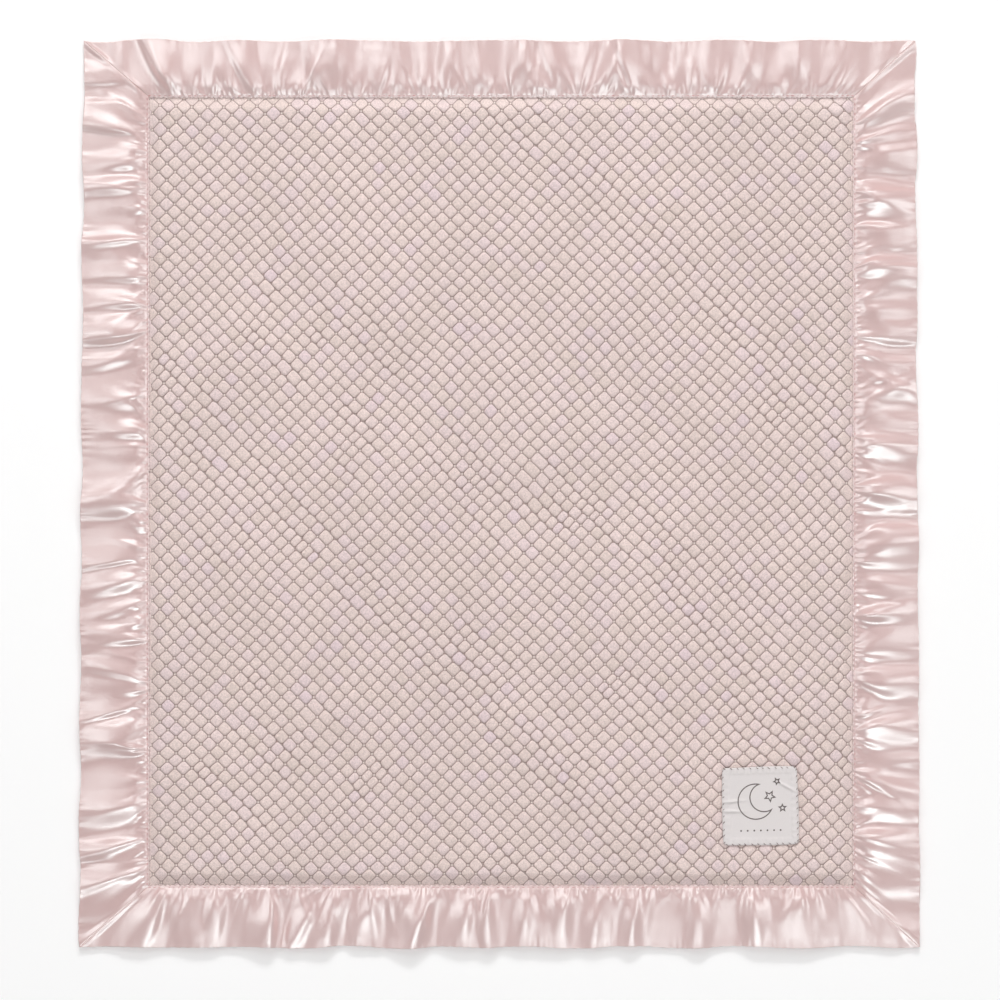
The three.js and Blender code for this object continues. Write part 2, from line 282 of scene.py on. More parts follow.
# Sizes of the patterns, in metres. Fibres, floats and the twist of a thread are too fine to show
# in the render, so tufts, slubs, plies and wales are drawn as coarse as they need to be.
PLUSH_CLOUD = 0.09
PLUSH_SPECK = 0.0011
PLUSH_TUFT = 0.0007
TUFT_DEPTH = 0.0005
SATIN_PATCH = 0.03
SATIN_SLUB = 0.0009
SLUB_DEPTH = 0.0001
THREAD_PLY = 0.0004
PLY_DEPTH = 0.0001
TWILL_WALE = 0.000977
TWILL_GRAIN = 0.0006
TWILL_DEPTH = 0.00012
# How light the darker grain of a thread and of the twill is, as a share of their colour
PLY_SHADE = 0.75
TWILL_SHADE = 0.86
# Where a map range is filled in below, its first two numbers are what comes in, and its last two
# what that turns to


def knitted_plush():
    """Knitted polyester plush: a short cut pile that scatters light, with shade painted down in its
    grooves.
    """
    sizes = settings("plush")
    material, tree = new_material("knitted_plush")
    places = add(tree, "ShaderNodeTexCoord").outputs["Object"]
    pile, tint, dot = (
        add(tree, "ShaderNodeAttribute", attribute_name=name).outputs["Fac"]
        for name in ("pile", "tint", "dot")
    )
    # Some cells are cooler than the rest, and some browner
    cool = add(tree, "ShaderNodeMath", (tint, 0.0), operation="MAXIMUM")
    warm = add(tree, "ShaderNodeMath", (tint, -1.0), operation="MULTIPLY")
    warm = add(tree, "ShaderNodeMath", (warm, 0.0), operation="MAXIMUM")
    colour = (*sizes.colour, 1)
    for factor, other in ((cool, sizes.mauve), (warm, sizes.taupe)):
        colours = {0: factor, 6: colour, 7: (*other, 1)}
        colour = add(tree, "ShaderNodeMix", colours, data_type="RGBA").outputs[2]
    # Clouds where the pile lies another way, and specks between the tufts
    cloud = {"Vector": places, "Scale": 1 / PLUSH_CLOUD, "Detail": 2.0}
    cloud = add(tree, "ShaderNodeTexNoise", cloud)
    cloud = add(tree, "ShaderNodeMapRange", (cloud, 0.3, 0.7, 0.955, 1.03))
    speck = {"Vector": places, "Scale": 1 / PLUSH_SPECK, "Detail": 3.0}
    speck = add(tree, "ShaderNodeTexNoise", speck)
    speck = add(tree, "ShaderNodeMapRange", (speck, 0.3, 0.7, 0.82, 1.14))
    level = add(tree, "ShaderNodeMath", (cloud, speck), operation="MULTIPLY")
    grey = add(tree, "ShaderNodeCombineColor", (level, level, level)).outputs[0]
    colours = {0: 1.0, 6: colour, 7: grey}
    colour = add(tree, "ShaderNodeMix", colours, data_type="RGBA", blend_type="MULTIPLY").outputs[2]
    # Painted shade down in the grooves, and bare ground at their crossings
    # The lower the pile stands, the more of the painted shade its colour gets
    deep = add(tree, "ShaderNodeMapRange", (pile, 0.0, 0.5, 1.0, 0.0))
    bare = add(tree, "ShaderNodeMapRange", (dot, 0.3, 0.65, 0.0, 1.0))
    for factor, other in ((deep, sizes.painted_groove_shade), (bare, sizes.dot)):
        colours = {0: factor, 6: colour, 7: (*other, 1)}
        colour = add(tree, "ShaderNodeMix", colours, data_type="RGBA").outputs[2]
    tufts = {"Vector": places, "Scale": 1 / PLUSH_TUFT, "Detail": 4.0}
    tufts = add(tree, "ShaderNodeTexNoise", tufts)
    fuzz = {"Height": tufts, "Distance": TUFT_DEPTH, "Strength": 0.55}
    shader = {
        "Base Color": colour,
        "Roughness": 0.95,
        "Specular IOR Level": 0.2,
        "Sheen Weight": 0.25,
        "Sheen Roughness": 0.6,
        "Normal": add(tree, "ShaderNodeBump", fuzz),
    }
    shader = add(tree, "ShaderNodeBsdfPrincipled", shader)
    add(tree, "ShaderNodeOutputMaterial", (shader,))
    return material


def woven_satin():
    """Woven polyester satin: long floats on the face give it a soft, broad gloss."""
    sizes = settings("border")
    material, tree = new_material("woven_polyester_satin")
    places = add(tree, "ShaderNodeTexCoord").outputs["Object"]
    patch = {"Vector": places, "Scale": 1 / SATIN_PATCH, "Detail": 2.0}
    patch = add(tree, "ShaderNodeTexNoise", patch)
    patch = add(tree, "ShaderNodeMapRange", (patch, 0.3, 0.7, 0.0, 0.35))
    colours = {0: patch, 6: (*sizes.colour, 1), 7: (*sizes.deeper, 1)}
    slub = {"Vector": places, "Scale": 1 / SATIN_SLUB, "Detail": 3.0}
    slub = add(tree, "ShaderNodeTexNoise", slub)
    slub = {"Height": slub, "Distance": SLUB_DEPTH, "Strength": 0.7}
    shader = {
        "Base Color": add(tree, "ShaderNodeMix", colours, data_type="RGBA").outputs[2],
        "Roughness": 0.38,
        "IOR": 2.8,
        "Specular IOR Level": 1.0,
        "Specular Tint": (*sizes.gloss, 1),
        "Anisotropic": 0.5,
        "Tangent": add(tree, "ShaderNodeAttribute", attribute_name="weft").outputs["Vector"],
        "Normal": add(tree, "ShaderNodeBump", slub),
    }
    shader = add(tree, "ShaderNodeBsdfPrincipled", shader)
    add(tree, "ShaderNodeOutputMaterial", (shader,))
    return material


def spun_thread(name, colour):
    """Spun polyester sewing thread: matt, with the twist of its plies drawn as fine grain."""
    material, tree = new_material(name)
    places = add(tree, "ShaderNodeTexCoord").outputs["Object"]
    plies = {"Vector": places, "Scale": 1 / THREAD_PLY, "Detail": 2.0}
    plies = add(tree, "ShaderNodeTexNoise", plies)
    level = add(tree, "ShaderNodeMapRange", (plies, 0.3, 0.7, 0.0, 0.5))
    colours = {0: level, 6: (*colour, 1), 7: (*(PLY_SHADE * c for c in colour), 1)}
    twist = {"Height": plies, "Distance": PLY_DEPTH, "Strength": 1.0}
    shader = {
        "Base Color": add(tree, "ShaderNodeMix", colours, data_type="RGBA").outputs[2],
        "Roughness": 0.55,
        "Normal": add(tree, "ShaderNodeBump", twist),
    }
    shader = add(tree, "ShaderNodeBsdfPrincipled", shader)
    add(tree, "ShaderNodeOutputMaterial", (shader,))
    return material


# Satin border


# Spacing of the samples of an uneven wave, and how far the samples run on past both corners
WAVE_STEP = 0.0005
WAVE_SPARE = 0.05
# Wavelengths of what varies along a border
WAVELENGTHS = {
    "swing": 0.075,
    "slant": 0.09,
    "lean": 0.045,
    "strength": 0.055,
    "slow": 0.1,
    "rim": 0.008,
}
# Each kind of fold: how far out it peaks, its width as a share of its spacing, how much it
# widens on the way there, from what share of that way behind the seam it rises, and how fast
# it dies away past its peak
FOLD_KINDS = {
    "fold": (0.027, 0.19, 0.5, 0.0, 0.05),
    "gather": (0.011, 0.18, 0.7, 0.0, 0.3),
    "pucker": (0.005, 0.25, 0.8, 0.3, 0.35),
}
# How much the folds of a kind differ: in spacing, as the spread of its logarithm and within what
# limits, in slant and in skew, and in peak, height and width, as shares of their own
SPACING_SPREAD = 0.35
SPACING_LIMITS = (0.65, 1.7)
SLANT_SPREAD = 0.06
SKEW_LIMITS = (-0.4, 0.4)
PEAK_LIMITS = (0.6, 1.6)
HEIGHT_LIMITS = (0.6, 1.2)
WIDTH_LIMITS = (0.75, 1.3)
# How much the folds' height varies in slow waves along the border
STRENGTH = 0.25
# How much a fold curls for each metre squared that it runs out
CURL = 1.5
# How much of a pucker shows under a higher one, and how much crowded folds hold each other down
UNDER_SHARE = 0.4
CROWDING = 0.35
# Puckers fan out from the nearest gather: their slant for each metre from it, and at most
PUCKER_TURN = 75
PUCKER_SLANT = 0.9
# How near a gather its puckers stand higher, how high they stand away from it, and how much more
# they do beside it
GATHER_REACH = 0.006
PUCKER_LOW = 0.6
PUCKER_MORE = 0.9
# Folds turn to run beside a mitre near it: how far from it, and how much
CORNER_REACH = 0.03
CORNER_SLANT = 0.85
# Extra columns of the cloth grid, this far from each mitre
MITRE_COLUMNS = (0.0003, 0.0006, 0.0013, 0.0017)
# Width of the crease along a mitre, its depth, and how far beside it the folds die away
CREASE_WIDTH = 0.0007
CREASE_DEPTH = 0.0005
MITRE_SLOPE = 0.007
# Reach of the dimples behind the seam, of a stitch's hold, and of the frilled edge
DIMPLE_REACH = 0.002
STITCH_HOLD = 0.0006
FRILL_REACH = 0.0009
# Where the puff behind the seam is full
PUFF_REACH = 0.012
# How far the broad waves run askew, and how far the outer fold strays, slowly and finely
SWING = 0.007
FOLD_STRAY = 0.0008
RIM_STRAY = 0.00012
# Height of the front leaf at the outer fold, and of the back leaf's top
RIM_HEIGHT = 0.0026
BACK_HEIGHT = 0.001
# Width of the slope past the caught plush, and the least gap over what lies under the leaf
CAUGHT_SLOPE = 0.006
LEAST_GAP = 0.0001
# Depth of the scallops that the stitches draw in the turned edge, and how far the edge dips
SCALLOP = 0.0009
EDGE_DIP = 0.0002
# The round of the outer fold: how far out, and at what share of the rim's height
FOLD_ROUND = ((0.00022, 0.78), (0.00025, 0.42), (0.0001, 0.13))
# Lines of the back leaf: how far in from the fold, then one just outside the seam, and its height
BACK_LINES = (0.0015, 0.012, 0.03, 0.042)
BACK_STEP = (0.004, 0.0002)
# Height of the back leaf at its seam, over the border's underside
BACK_LIFT = 0.00085


def soft_step(value, start, end):
    """0 up to start, 1 from end, and a smooth rise between them."""
    t = np.clip((value - start) / (end - start), 0, 1)
    return t * t * (3 - 2 * t)


def hump(value, peak, early=0.0, fading=0.3):
    """Rises to 1 at the peak, from a share of the peak before 0, and then dies away."""
    past = np.clip(value / peak - 1, 0, None)
    return soft_step(value, -early * peak, peak) / (1 + fading * past**2)


def wave_noise(rng, count, wavelength):
    """Uneven waves along a line, about one wavelength apart and of unit deviation."""
    reach = int(2.2 * wavelength / WAVE_STEP) + 1
    steps = np.arange(-reach, reach + 1) * WAVE_STEP / wavelength
    kernel = np.exp(-1.4 * steps**2) * np.cos(2 * np.pi * steps)
    raw = np.convolve(rng.normal(size=count + 2 * reach), kernel, "valid")
    raw = (raw - raw.mean()) / raw.std()
    return 1.5 * np.tanh(raw / 1.5)


class SatinLeaf:
    """The front leaf of one side of the border, gathered along its seam.

    Places are (along, outward, up) from the seam's first corner, on a grid of columns and rows.
    Fine puckers, gathers and folds all start at the seam, and fan out as they cross the border.
    """

    def __init__(self, index, rng):
        self.sizes = settings("border")
        seam, fold = corner_points()
        after = (index + 1) % 4
        run = seam[after] - seam[index]
        self.origin = seam[index]
        self.forward = run / np.linalg.norm(run)
        self.outward = np.array([-self.forward[1], self.forward[0]])
        local = [self.to_local(p) for p in (seam[index], seam[after], fold[index], fold[after])]
        self.seam_start, self.seam_end, self.fold_start, self.fold_end = local
        self.length = self.seam_end[0]
        self.seam_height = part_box(f"front_stitch_{SIDES[index]}")[0][2] - CLEARANCE
        self.axis = np.arange(-WAVE_SPARE, self.length + WAVE_SPARE, WAVE_STEP)
        self.waves = {
            name: wave_noise(rng, len(self.axis), wavelength)
            for name, wavelength in {"swell": self.sizes.swell, **WAVELENGTHS}.items()
        }
        self.folds = {}
        for name in FOLD_KINDS:
            self.folds[name] = self.drawn_folds(name, rng)

    def drawn_folds(self, name, rng):
        """The places, sizes and ways of all folds of one kind, from the seam's random numbers."""
        peak, share, growth, early, fading = FOLD_KINDS[name]
        spacing = getattr(self.sizes, name)
        steps = np.exp(SPACING_SPREAD * rng.normal(size=int(1.5 * self.length / spacing)))
        roots = np.cumsum(spacing * np.clip(steps, *SPACING_LIMITS))
        roots = roots[roots < self.length - spacing / 2]
        count = len(roots)
        slants = self.sizes.slant * self.along("slant", roots)
        slants = slants + SLANT_SPREAD * rng.normal(size=count)
        skews = rng.uniform(*SKEW_LIMITS, size=count)
        close = np.ones(count)
        if name == "fold":
            skews = 0.25 + 0.5 * skews
        if name == "pucker":
            gathers = self.folds["gather"]["root"]
            past = roots - gathers[np.abs(gathers - roots[:, None]).argmin(1)]
            slants = slants + np.clip(PUCKER_TURN * past, -PUCKER_SLANT, PUCKER_SLANT)
            close = PUCKER_LOW + PUCKER_MORE * np.exp(-((past / GATHER_REACH) ** 2))
        strength = 1 + STRENGTH * self.along("strength", roots)
        return {
            "root": roots,
            "peak": peak * close * rng.uniform(*PEAK_LIMITS, size=count),
            "height": close * rng.uniform(*HEIGHT_LIMITS, size=count) * strength,
            "width": spacing * share * rng.uniform(*WIDTH_LIMITS, size=count),
            "skew": skews,
            "slant": slants,
            "curl": rng.normal(size=count),
            "growth": np.full(count, growth),
            "early": np.full(count, early),
            "fading": np.full(count, fading),
        }

    def to_local(self, p):
        return np.array([(p - self.origin) @ self.forward, (p - self.origin) @ self.outward])

    def to_world(self, places):
        flat = self.origin + places[..., :1] * self.forward + places[..., 1:2] * self.outward
        return np.concatenate([flat, places[..., 2:]], -1)

    def along(self, name, s):
        """One of the uneven waves at places along the border."""
        return np.interp(s, self.axis, self.waves[name])

    def fan(self, name, s, u):
        """Folds of one kind: each rises from the seam, widens as it runs out and dies away."""
        total = np.zeros_like(s)
        out = np.clip(u, 0, None)
        kind = self.folds[name].values()
        for root, peak, height, width, skew, slant, curl, growth, early, fading in zip(*kind):
            start = math.exp(-root / CORNER_REACH)
            end = math.exp(-(self.length - root) / CORNER_REACH)
            free = 1 - start - end
            centre = root + out * (slant * free + CORNER_SLANT * (end - start))
            centre = centre + CURL * curl * out * out * free
            away = s - centre
            wide = width * (1 + growth * out / peak) * (1 + skew * np.tanh(away / width))
            ridge = height * hump(u, peak, early, fading) * np.exp(-((away / wide) ** 2))
            if name == "pucker":
                total = np.maximum(total, ridge + UNDER_SHARE * total)
            else:
                total = total + ridge
        return total / (1 + CROWDING * total)

    def flat(self, columns, rows):
        """The leaf laid flat between its mitres, from the turned edge to the fold.

        Rows are closer together at the seam. Also returns each place's share of the way out.
        """
        along = np.linspace(0, 1, columns - 2 * len(MITRE_COLUMNS))
        near = np.array(MITRE_COLUMNS) / self.length
        along = np.sort(np.concatenate([along, near, 1 - near]))[:, None]
        width = self.fold_start[1] + (self.fold_end[1] - self.fold_start[1]) * along
        turned = -self.sizes.turned_edge / width
        t = np.linspace(0, 1, rows)[None, :]
        share = turned + (1 - turned) * (0.6 * t + 0.4 * t * t)
        start = self.seam_start[0] + (self.fold_start[0] - self.seam_start[0]) * share
        end = self.seam_end[0] + (self.fold_end[0] - self.seam_end[0]) * share
        s = start + (end - start) * along
        return np.stack([s, share * width, np.zeros_like(s)], -1), share

    def floor(self, u):
        """Height of what lies under the leaf: the caught plush, then the back leaf."""
        caught = settings("plush").caught
        under = self.seam_height - self.sizes.gauge
        return np.interp(u, [0, caught, caught + CAUGHT_SLOPE], [under, under, BACK_HEIGHT])

    def gathered(self, flat, share):
        """The leaf with its gathers: fine at the seam, broad at the outer fold."""
        sizes = self.sizes
        s, u = flat[..., 0], flat[..., 1]
        ends = np.minimum(s - s[:1], s[-1:] - s)
        out = u + sizes.turned_edge
        dimples = np.abs(np.sin(np.pi * s / settings("stitch").pitch)) ** 0.7
        rise = sizes.dimple_rise * dimples * hump(out, DIMPLE_REACH)
        rise = rise + sizes.pucker_rise * self.fan("pucker", s, out)
        rise = rise + sizes.gather_rise * self.fan("gather", s, out)
        settled = 1 - 0.25 * soft_step(share, 0.45, 1.0)
        rise = rise + sizes.fold_rise * settled * self.fan("fold", s, out)
        # Broad waves and small creases, which belong to the outer fold
        swung = s + SWING * self.along("swing", s) * soft_step(share, 0.0, 0.8)
        swell_reach = soft_step(share, 0.1, 0.6) * (1 - 0.3 * soft_step(share, 0.8, 1.0))
        rise = rise + sizes.swell_rise * swell_reach * (0.5 + self.along("swell", swung))
        rise = rise + sizes.rim_rise * np.exp(-(1 - share) * 9) * self.along("rim", swung)
        # It all dies away towards the mitres, and where the stitches hold the cloth
        inner = soft_step(ends, 0.0, MITRE_SLOPE)
        level = sizes.mitre_rise * soft_step(out, 0.0, PUFF_REACH)
        sewn_down = 1 - 0.8 * np.exp(-(((u + sizes.stitch_line) / STITCH_HOLD) ** 2))
        crease = CREASE_DEPTH * np.exp(-ends / CREASE_WIDTH)
        rise = sewn_down * (level + (rise - level) * inner) - crease
        edge = soft_step(-u - sizes.stitch_line, 0.0, FRILL_REACH)
        rise = rise + sizes.frill_rise * (0.4 + dimples) * edge * inner
        puff = sizes.puff * soft_step(out, 0.0, PUFF_REACH) * (1 - share**2)
        base = self.seam_height + (RIM_HEIGHT - self.seam_height) * soft_step(share, 0.05, 1.0)
        lean = sizes.lean * self.along("lean", swung) * soft_step(ends, 0.002, 0.02)
        slow, fine = soft_step(share, 0.5, 1.0), soft_step(share, 0.9, 1.0)
        places = flat.copy()
        places[..., 0] += lean * np.clip(rise, 0, None)
        places[..., 1] += FOLD_STRAY * self.along("slow", s) * inner * slow
        places[..., 1] += RIM_STRAY * self.along("rim", s) * inner * fine
        places[..., 2] = np.maximum(base + puff + rise, self.floor(u) + LEAST_GAP)
        return places

    def sewn(self):
        """Places of the gathered leaf."""
        coarse = 1
        columns = round(self.length / self.sizes.column_pitch / coarse) + 1
        rows = round(self.fold_start[1] / self.sizes.row_pitch / coarse) + 1
        return self.gathered(*self.flat(columns, rows))


def border_section(leaf):
    """The whole strip: its gathered front leaf, the outer fold and the back leaf."""
    sizes = leaf.sizes
    places = leaf.sewn()
    scallop = 0.5 + 0.5 * np.cos(2 * np.pi * places[:, 0, 0] / settings("stitch").pitch)
    places[:, 0, 1] -= SCALLOP * scallop * (1 + 0.3 * leaf.along("rim", places[:, 0, 0]))
    places[:, 0, 2] -= EDGE_DIP
    rim = places[:, -1].copy()
    # One more line, close to the outer fold, so that the cloth turns sharply there
    places = np.insert(places, -1, 0.7 * rim + 0.3 * places[:, -2], axis=1)
    lines = []
    for out, share in FOLD_ROUND:
        lines.append(np.stack([rim[:, 0], rim[:, 1] + out, rim[:, 2] * share], -1))
    flat, _ = leaf.flat(len(places), 2)
    start, end = flat[:, 0], flat[:, 1]
    width = end[:, 1] - start[:, 1]
    steps = [(1 - back / width, 0.0) for back in BACK_LINES]
    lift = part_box("border_top")[0][2] + BACK_LIFT
    for outward, height in (BACK_STEP, (sizes.stitch_bed, lift), (-sizes.turned_edge, lift)):
        steps.append(((outward + sizes.turned_edge) / width, height))
    for t, height in steps:
        line = start + (end - start) * t[:, None]
        line[:, 2] = height
        lines.append(line)
    return np.concatenate([places, np.stack(lines, 1)], 1)


def border_strip(index, rng, material):
    """One side of the border: front leaf, fold and back leaf in one sheet of satin."""
    sizes = settings("border")
    leaf = SatinLeaf(index, rng)
    section = border_section(leaf)
    columns, lines, _ = section.shape
    name = f"satin_border_{SIDES[index]}"
    world = leaf.to_world(section).reshape(-1, 3)
    mesh = fast_mesh(name, world, grid_faces(columns, lines))
    obj = linked(name, mesh)
    weft = mesh.attributes.new("weft", "FLOAT_VECTOR", "POINT")
    weft.data.foreach_set("vector", np.tile((*leaf.outward, 0), (columns * lines, 1)).ravel())
    solid = obj.modifiers.new("gauge", "SOLIDIFY")
    solid.thickness = sizes.gauge
    solid.offset = -1
    finish_mesh(obj, material, f"border_{SIDES[index]}")


class BLANKET_OT_border(bpy.types.Operator):
    """Gathers the satin of the four sides and folds it round the plush"""

    bl_idname = "blanket.border"
    bl_label = "Satin border"

    def execute(self, context):
        material = woven_satin()
        for index in range(4):
            rng = np.random.default_rng(settings("border").seed + index)
            border_strip(index, rng, material)
        return {"FINISHED"}


# Plush panels


# Rings of a cell, from its foot: how far in from the groove, share of the corner's radius, height
CELL_RINGS = ((0.0, 1.0, 0.0), (0.00045, 0.95, 0.64), (0.0018, 0.8, 0.93))
# Least half width of a ring beyond its round corners
RING_SPARE = 0.0003
# How much the cells differ in height, as a share of it, and in tint
CELL_UNEVEN = 0.06
CELL_TINT = 0.36
# Where grooves cross, and where one only ends at another: how high the ground stands there,
# and how much it has of the dots' colour
CROSSING = (0.45, 1.0)
GROOVE_END = (0.3, 0.6)
# A slip: how many rows slide, short of the second number, over how many cells, how many cells it
# takes to start and to end, and how far the rows may go
SLIP_ROWS = (1, 4)
SLIP_RUN = (2, 8)
SLIP_EASE = (2.5, 5)
SLIDES = (-0.5, 0.5, -0.5, 0.5, -1, 1)
# Least and greatest length of a cell along its row, and how near two rows' edges have to be to meet
CELL_SPAN = (0.72, 1.3)
MEET_REACH = 0.16
# Half the side of the square of lattice that a panel is cut from
LATTICE_REACH = 0.5
# Thickness of a plush layer where the border's seam holds it, and how much of the grooves' depth
# is left there
SEAM_THICKNESS = 0.0008
SEAM_RELIEF = 0.25
# Lengths of the waves in which the lattice wanders, and how much longer they are crosswise
WANDER_WAVES = (0.26, 0.13, 0.075)
WANDER_CROSS = (1.7, 1.6)
# How far past a panel's edges its cells are kept before they are cut off
CUT_SPARE = 0.02
# How far inside the taper the plain side of a panel is flat
INSET_SPARE = 0.003
# Depth and width of the dent along the label's edge, and how deep the whole label sinks in
DENT_DEPTH = 0.0011
DENT_WIDTH = 0.0035
LABEL_SINK = 0.0009


def cell_rows(sizes, low, high):
    """Each row's cell edges along the row, in cells. Here and there a few rows have slid.

    Rows run down to the right. Places along a row and across the rows are counted in cells.
    """
    rng = np.random.default_rng(sizes.seed)
    even = np.arange(low, high + 1, dtype=float)
    edges = {row: even.copy() for row in range(low, high)}
    for _ in range(sizes.slips):
        first, deep = int(rng.integers(low, high)), int(rng.integers(*SLIP_ROWS))
        start, run, ease = rng.uniform(low, high), rng.uniform(*SLIP_RUN), rng.uniform(*SLIP_EASE)
        slide = rng.choice(SLIDES)
        up, down = (even - start) / ease, (even - start - run) / ease
        shape = np.clip(up, 0, 1) - np.clip(down, 0, 1)
        for row in range(first, min(first + deep, high)):
            edges[row] += slide * shape
    for row in range(low, high):
        line = edges[row]
        line[1:] = line[0] + np.cumsum(np.clip(np.diff(line), *CELL_SPAN))
        if row > low:
            below = edges[row - 1]
            near = below[np.abs(below[None] - line[:, None]).argmin(1)]
            line[:] = np.where(np.abs(near - line) < MEET_REACH, near, line)
    return edges


def ring(centre, size, inset, radius, steps):
    """Rounded rectangles set in from cells of half a size, anticlockwise from the right."""
    angles = np.concatenate([np.linspace(0, np.pi / 2, steps) + k * np.pi / 2 for k in range(4)])
    signs = np.repeat([(1, 1), (-1, 1), (-1, -1), (1, -1)], steps, 0)
    rounded = np.minimum(radius, size.min(1) - inset - RING_SPARE)[:, None, None]
    arc = np.stack([np.cos(angles), np.sin(angles)], 1) * rounded
    return centre[:, None] + signs * (size[:, None] - rounded - inset) + arc


def cell_tops(sizes, cells, coarse):
    """Places, triangles, pile heights and tints of the cells, and how many places each has."""
    pitch = sizes.pitch
    rng = np.random.default_rng(sizes.seed + 1)
    low = np.stack([cells[:, 0], cells[:, 2]], 1) * pitch
    high = np.stack([cells[:, 1], cells[:, 2] + 1], 1) * pitch
    centre, size = (low + high) / 2, (high - low) / 2
    rings = CELL_RINGS[:2] if coarse else CELL_RINGS
    steps = 2 if coarse else 3
    points = 4 * steps
    places, pile = [], []
    swell = 1 + CELL_UNEVEN * rng.normal(size=len(cells))
    for inset, round_share, height in rings:
        flat = ring(centre, size, sizes.groove / 2 + inset, sizes.corner * round_share, steps)
        z = np.broadcast_to(height * (swell[:, None] if height > 0.5 else 1), flat.shape[:2])
        places.append(np.concatenate([flat, z[..., None]], -1))
        pile.append(np.full(z.shape, height))
    places.append(np.concatenate([centre, swell[:, None]], 1)[:, None])
    pile.append(np.ones((len(cells), 1)))
    places, pile = np.concatenate(places, 1), np.concatenate(pile, 1)
    per_cell = places.shape[1]
    tint = np.clip(rng.normal(size=len(cells)) * CELL_TINT, -1, 1)

    template = []
    k = np.arange(points)
    after = (k + 1) % points
    for level in range(len(rings) - 1):
        a, b = level * points, (level + 1) * points
        template.append(np.stack([a + k, a + after, b + after], 1))
        template.append(np.stack([a + k, b + after, b + k], 1))
    last = (len(rings) - 1) * points
    template.append(np.stack([last + k, last + after, np.full(points, per_cell - 1)], 1))
    template = np.concatenate(template)
    base = np.arange(len(cells)) * per_cell
    triangles = (base[:, None, None] + template[None]).reshape(-1, 3)
    return places.reshape(-1, 3), triangles, pile.ravel(), np.repeat(tint, per_cell), per_cell


def plush_cells(sizes, coarse):
    """Places, triangles, and the attributes pile, tint and dot of a field of cells.

    Places are (along a row, across the rows, height from 0 to 1).
    """
    pitch = sizes.pitch
    reach = int(LATTICE_REACH / pitch)
    edges = cell_rows(sizes, -reach, reach)
    cells = [(a, b, row) for row, line in edges.items() for a, b in zip(line[:-1], line[1:])]
    cells = np.array(cells, float)
    places, triangles, pile, tint, per_cell = cell_tops(sizes, cells, coarse)

    # The floor of the grooves runs through a knot at each end of a cross groove
    first_of = {}
    for number, (_, _, row) in enumerate(cells):
        first_of.setdefault(int(row), number)
    knot_places, knot_dots, lines = [], [], {}
    blank_row = np.array([])
    for row in range(-reach, reach + 1):
        below, above = edges.get(row - 1, blank_row), edges.get(row, blank_row)
        crossings = np.intersect1d(below, above)
        beside = (crossings - sizes.dot_reach, crossings + sizes.dot_reach)
        knots = np.unique(np.concatenate([below, above, *beside]))
        lines[row] = (knots, len(places) + len(knot_places))
        for t, crosses in zip(knots, np.isin(knots, crossings)):
            meets = crosses or t in below or t in above
            height, dot = CROSSING if crosses else [meets * value for value in GROOVE_END]
            knot_places.append((t * pitch, row * pitch, height))
            knot_dots.append(dot)

    floor = []

    def face(a, b, c, side):
        floor.append((a, b, c) if side == 1 else (a, c, b))

    # A cell's corner points as they leave its two long sides, and as they meet the next cell's
    s = 2 if coarse else 3
    arcs = {
        1: (range(s - 1, -1, -1), range(2 * s - 1, s - 1, -1)),
        -1: (range(3 * s, 4 * s), range(2 * s, 3 * s)),
    }
    for row, line in edges.items():
        owns = [(first_of[row] + cell) * per_cell for cell in range(len(line) - 1)]
        for side, (leave, meet) in arcs.items():
            knots, start = lines[row + 1 if side == 1 else row]
            ends = (start + np.searchsorted(knots, line)).tolist()
            for own, low, high in zip(owns, ends[:-1], ends[1:]):
                middle = low + (high - low + 1) // 2
                corners = (own + meet[-1], own + leave[0])
                for knot in range(low, high):
                    face(corners[0] if knot < middle else corners[1], knot + 1, knot, side)
                floor.append((*corners[::side], middle))
                if own == owns[-1]:
                    continue
                arc = [own + j for j in leave] + [own + per_cell + j for j in meet]
                for p, q in zip(arc[:-1], arc[1:]):
                    face(high, p, q, side)
        for own, after in zip(owns[:-1], owns[1:]):
            a, b, c, d = own, own + 4 * s - 1, after + 2 * s - 1, after + 2 * s
            floor += [(a, b, c), (b, d, c)]
    blank = np.zeros(len(knot_places))
    attributes = {
        "pile": np.concatenate([pile, blank]),
        "tint": np.concatenate([tint, blank]),
        "dot": np.concatenate([np.zeros(len(places)), knot_dots]),
    }
    places = np.concatenate([places, knot_places])
    return places, np.concatenate([triangles, floor]), attributes


def panel_fullness(x, y, sizes):
    """How full the pile stands, from 0 where the border holds it to 1 in the field."""
    left, right, low, high = seam_rectangle()
    inside = np.minimum(np.minimum(x - left, right - x), np.minimum(y - low, high - y))
    return soft_step(inside - settings("border").turned_edge - CLEARANCE, 0, sizes.taper)


def wandered(x, y, sizes):
    """Places of the lattice after it has wandered in slow waves."""
    phase = np.random.default_rng(sizes.seed + 2).uniform(0, 2 * np.pi, 4 * len(WANDER_WAVES))
    cross_x, cross_y = WANDER_CROSS
    for k, wave in enumerate(WANDER_WAVES):
        a, b, c, d = phase[4 * k : 4 * k + 4]
        size = sizes.warp / (k + 1)
        dx = size * np.sin(2 * np.pi * y / wave + a) * np.cos(2 * np.pi * x / wave / cross_x + b)
        dy = size * np.sin(2 * np.pi * x / wave + c) * np.cos(2 * np.pi * y / wave / cross_y + d)
        x, y = x + dx, y + dy
    return x, y


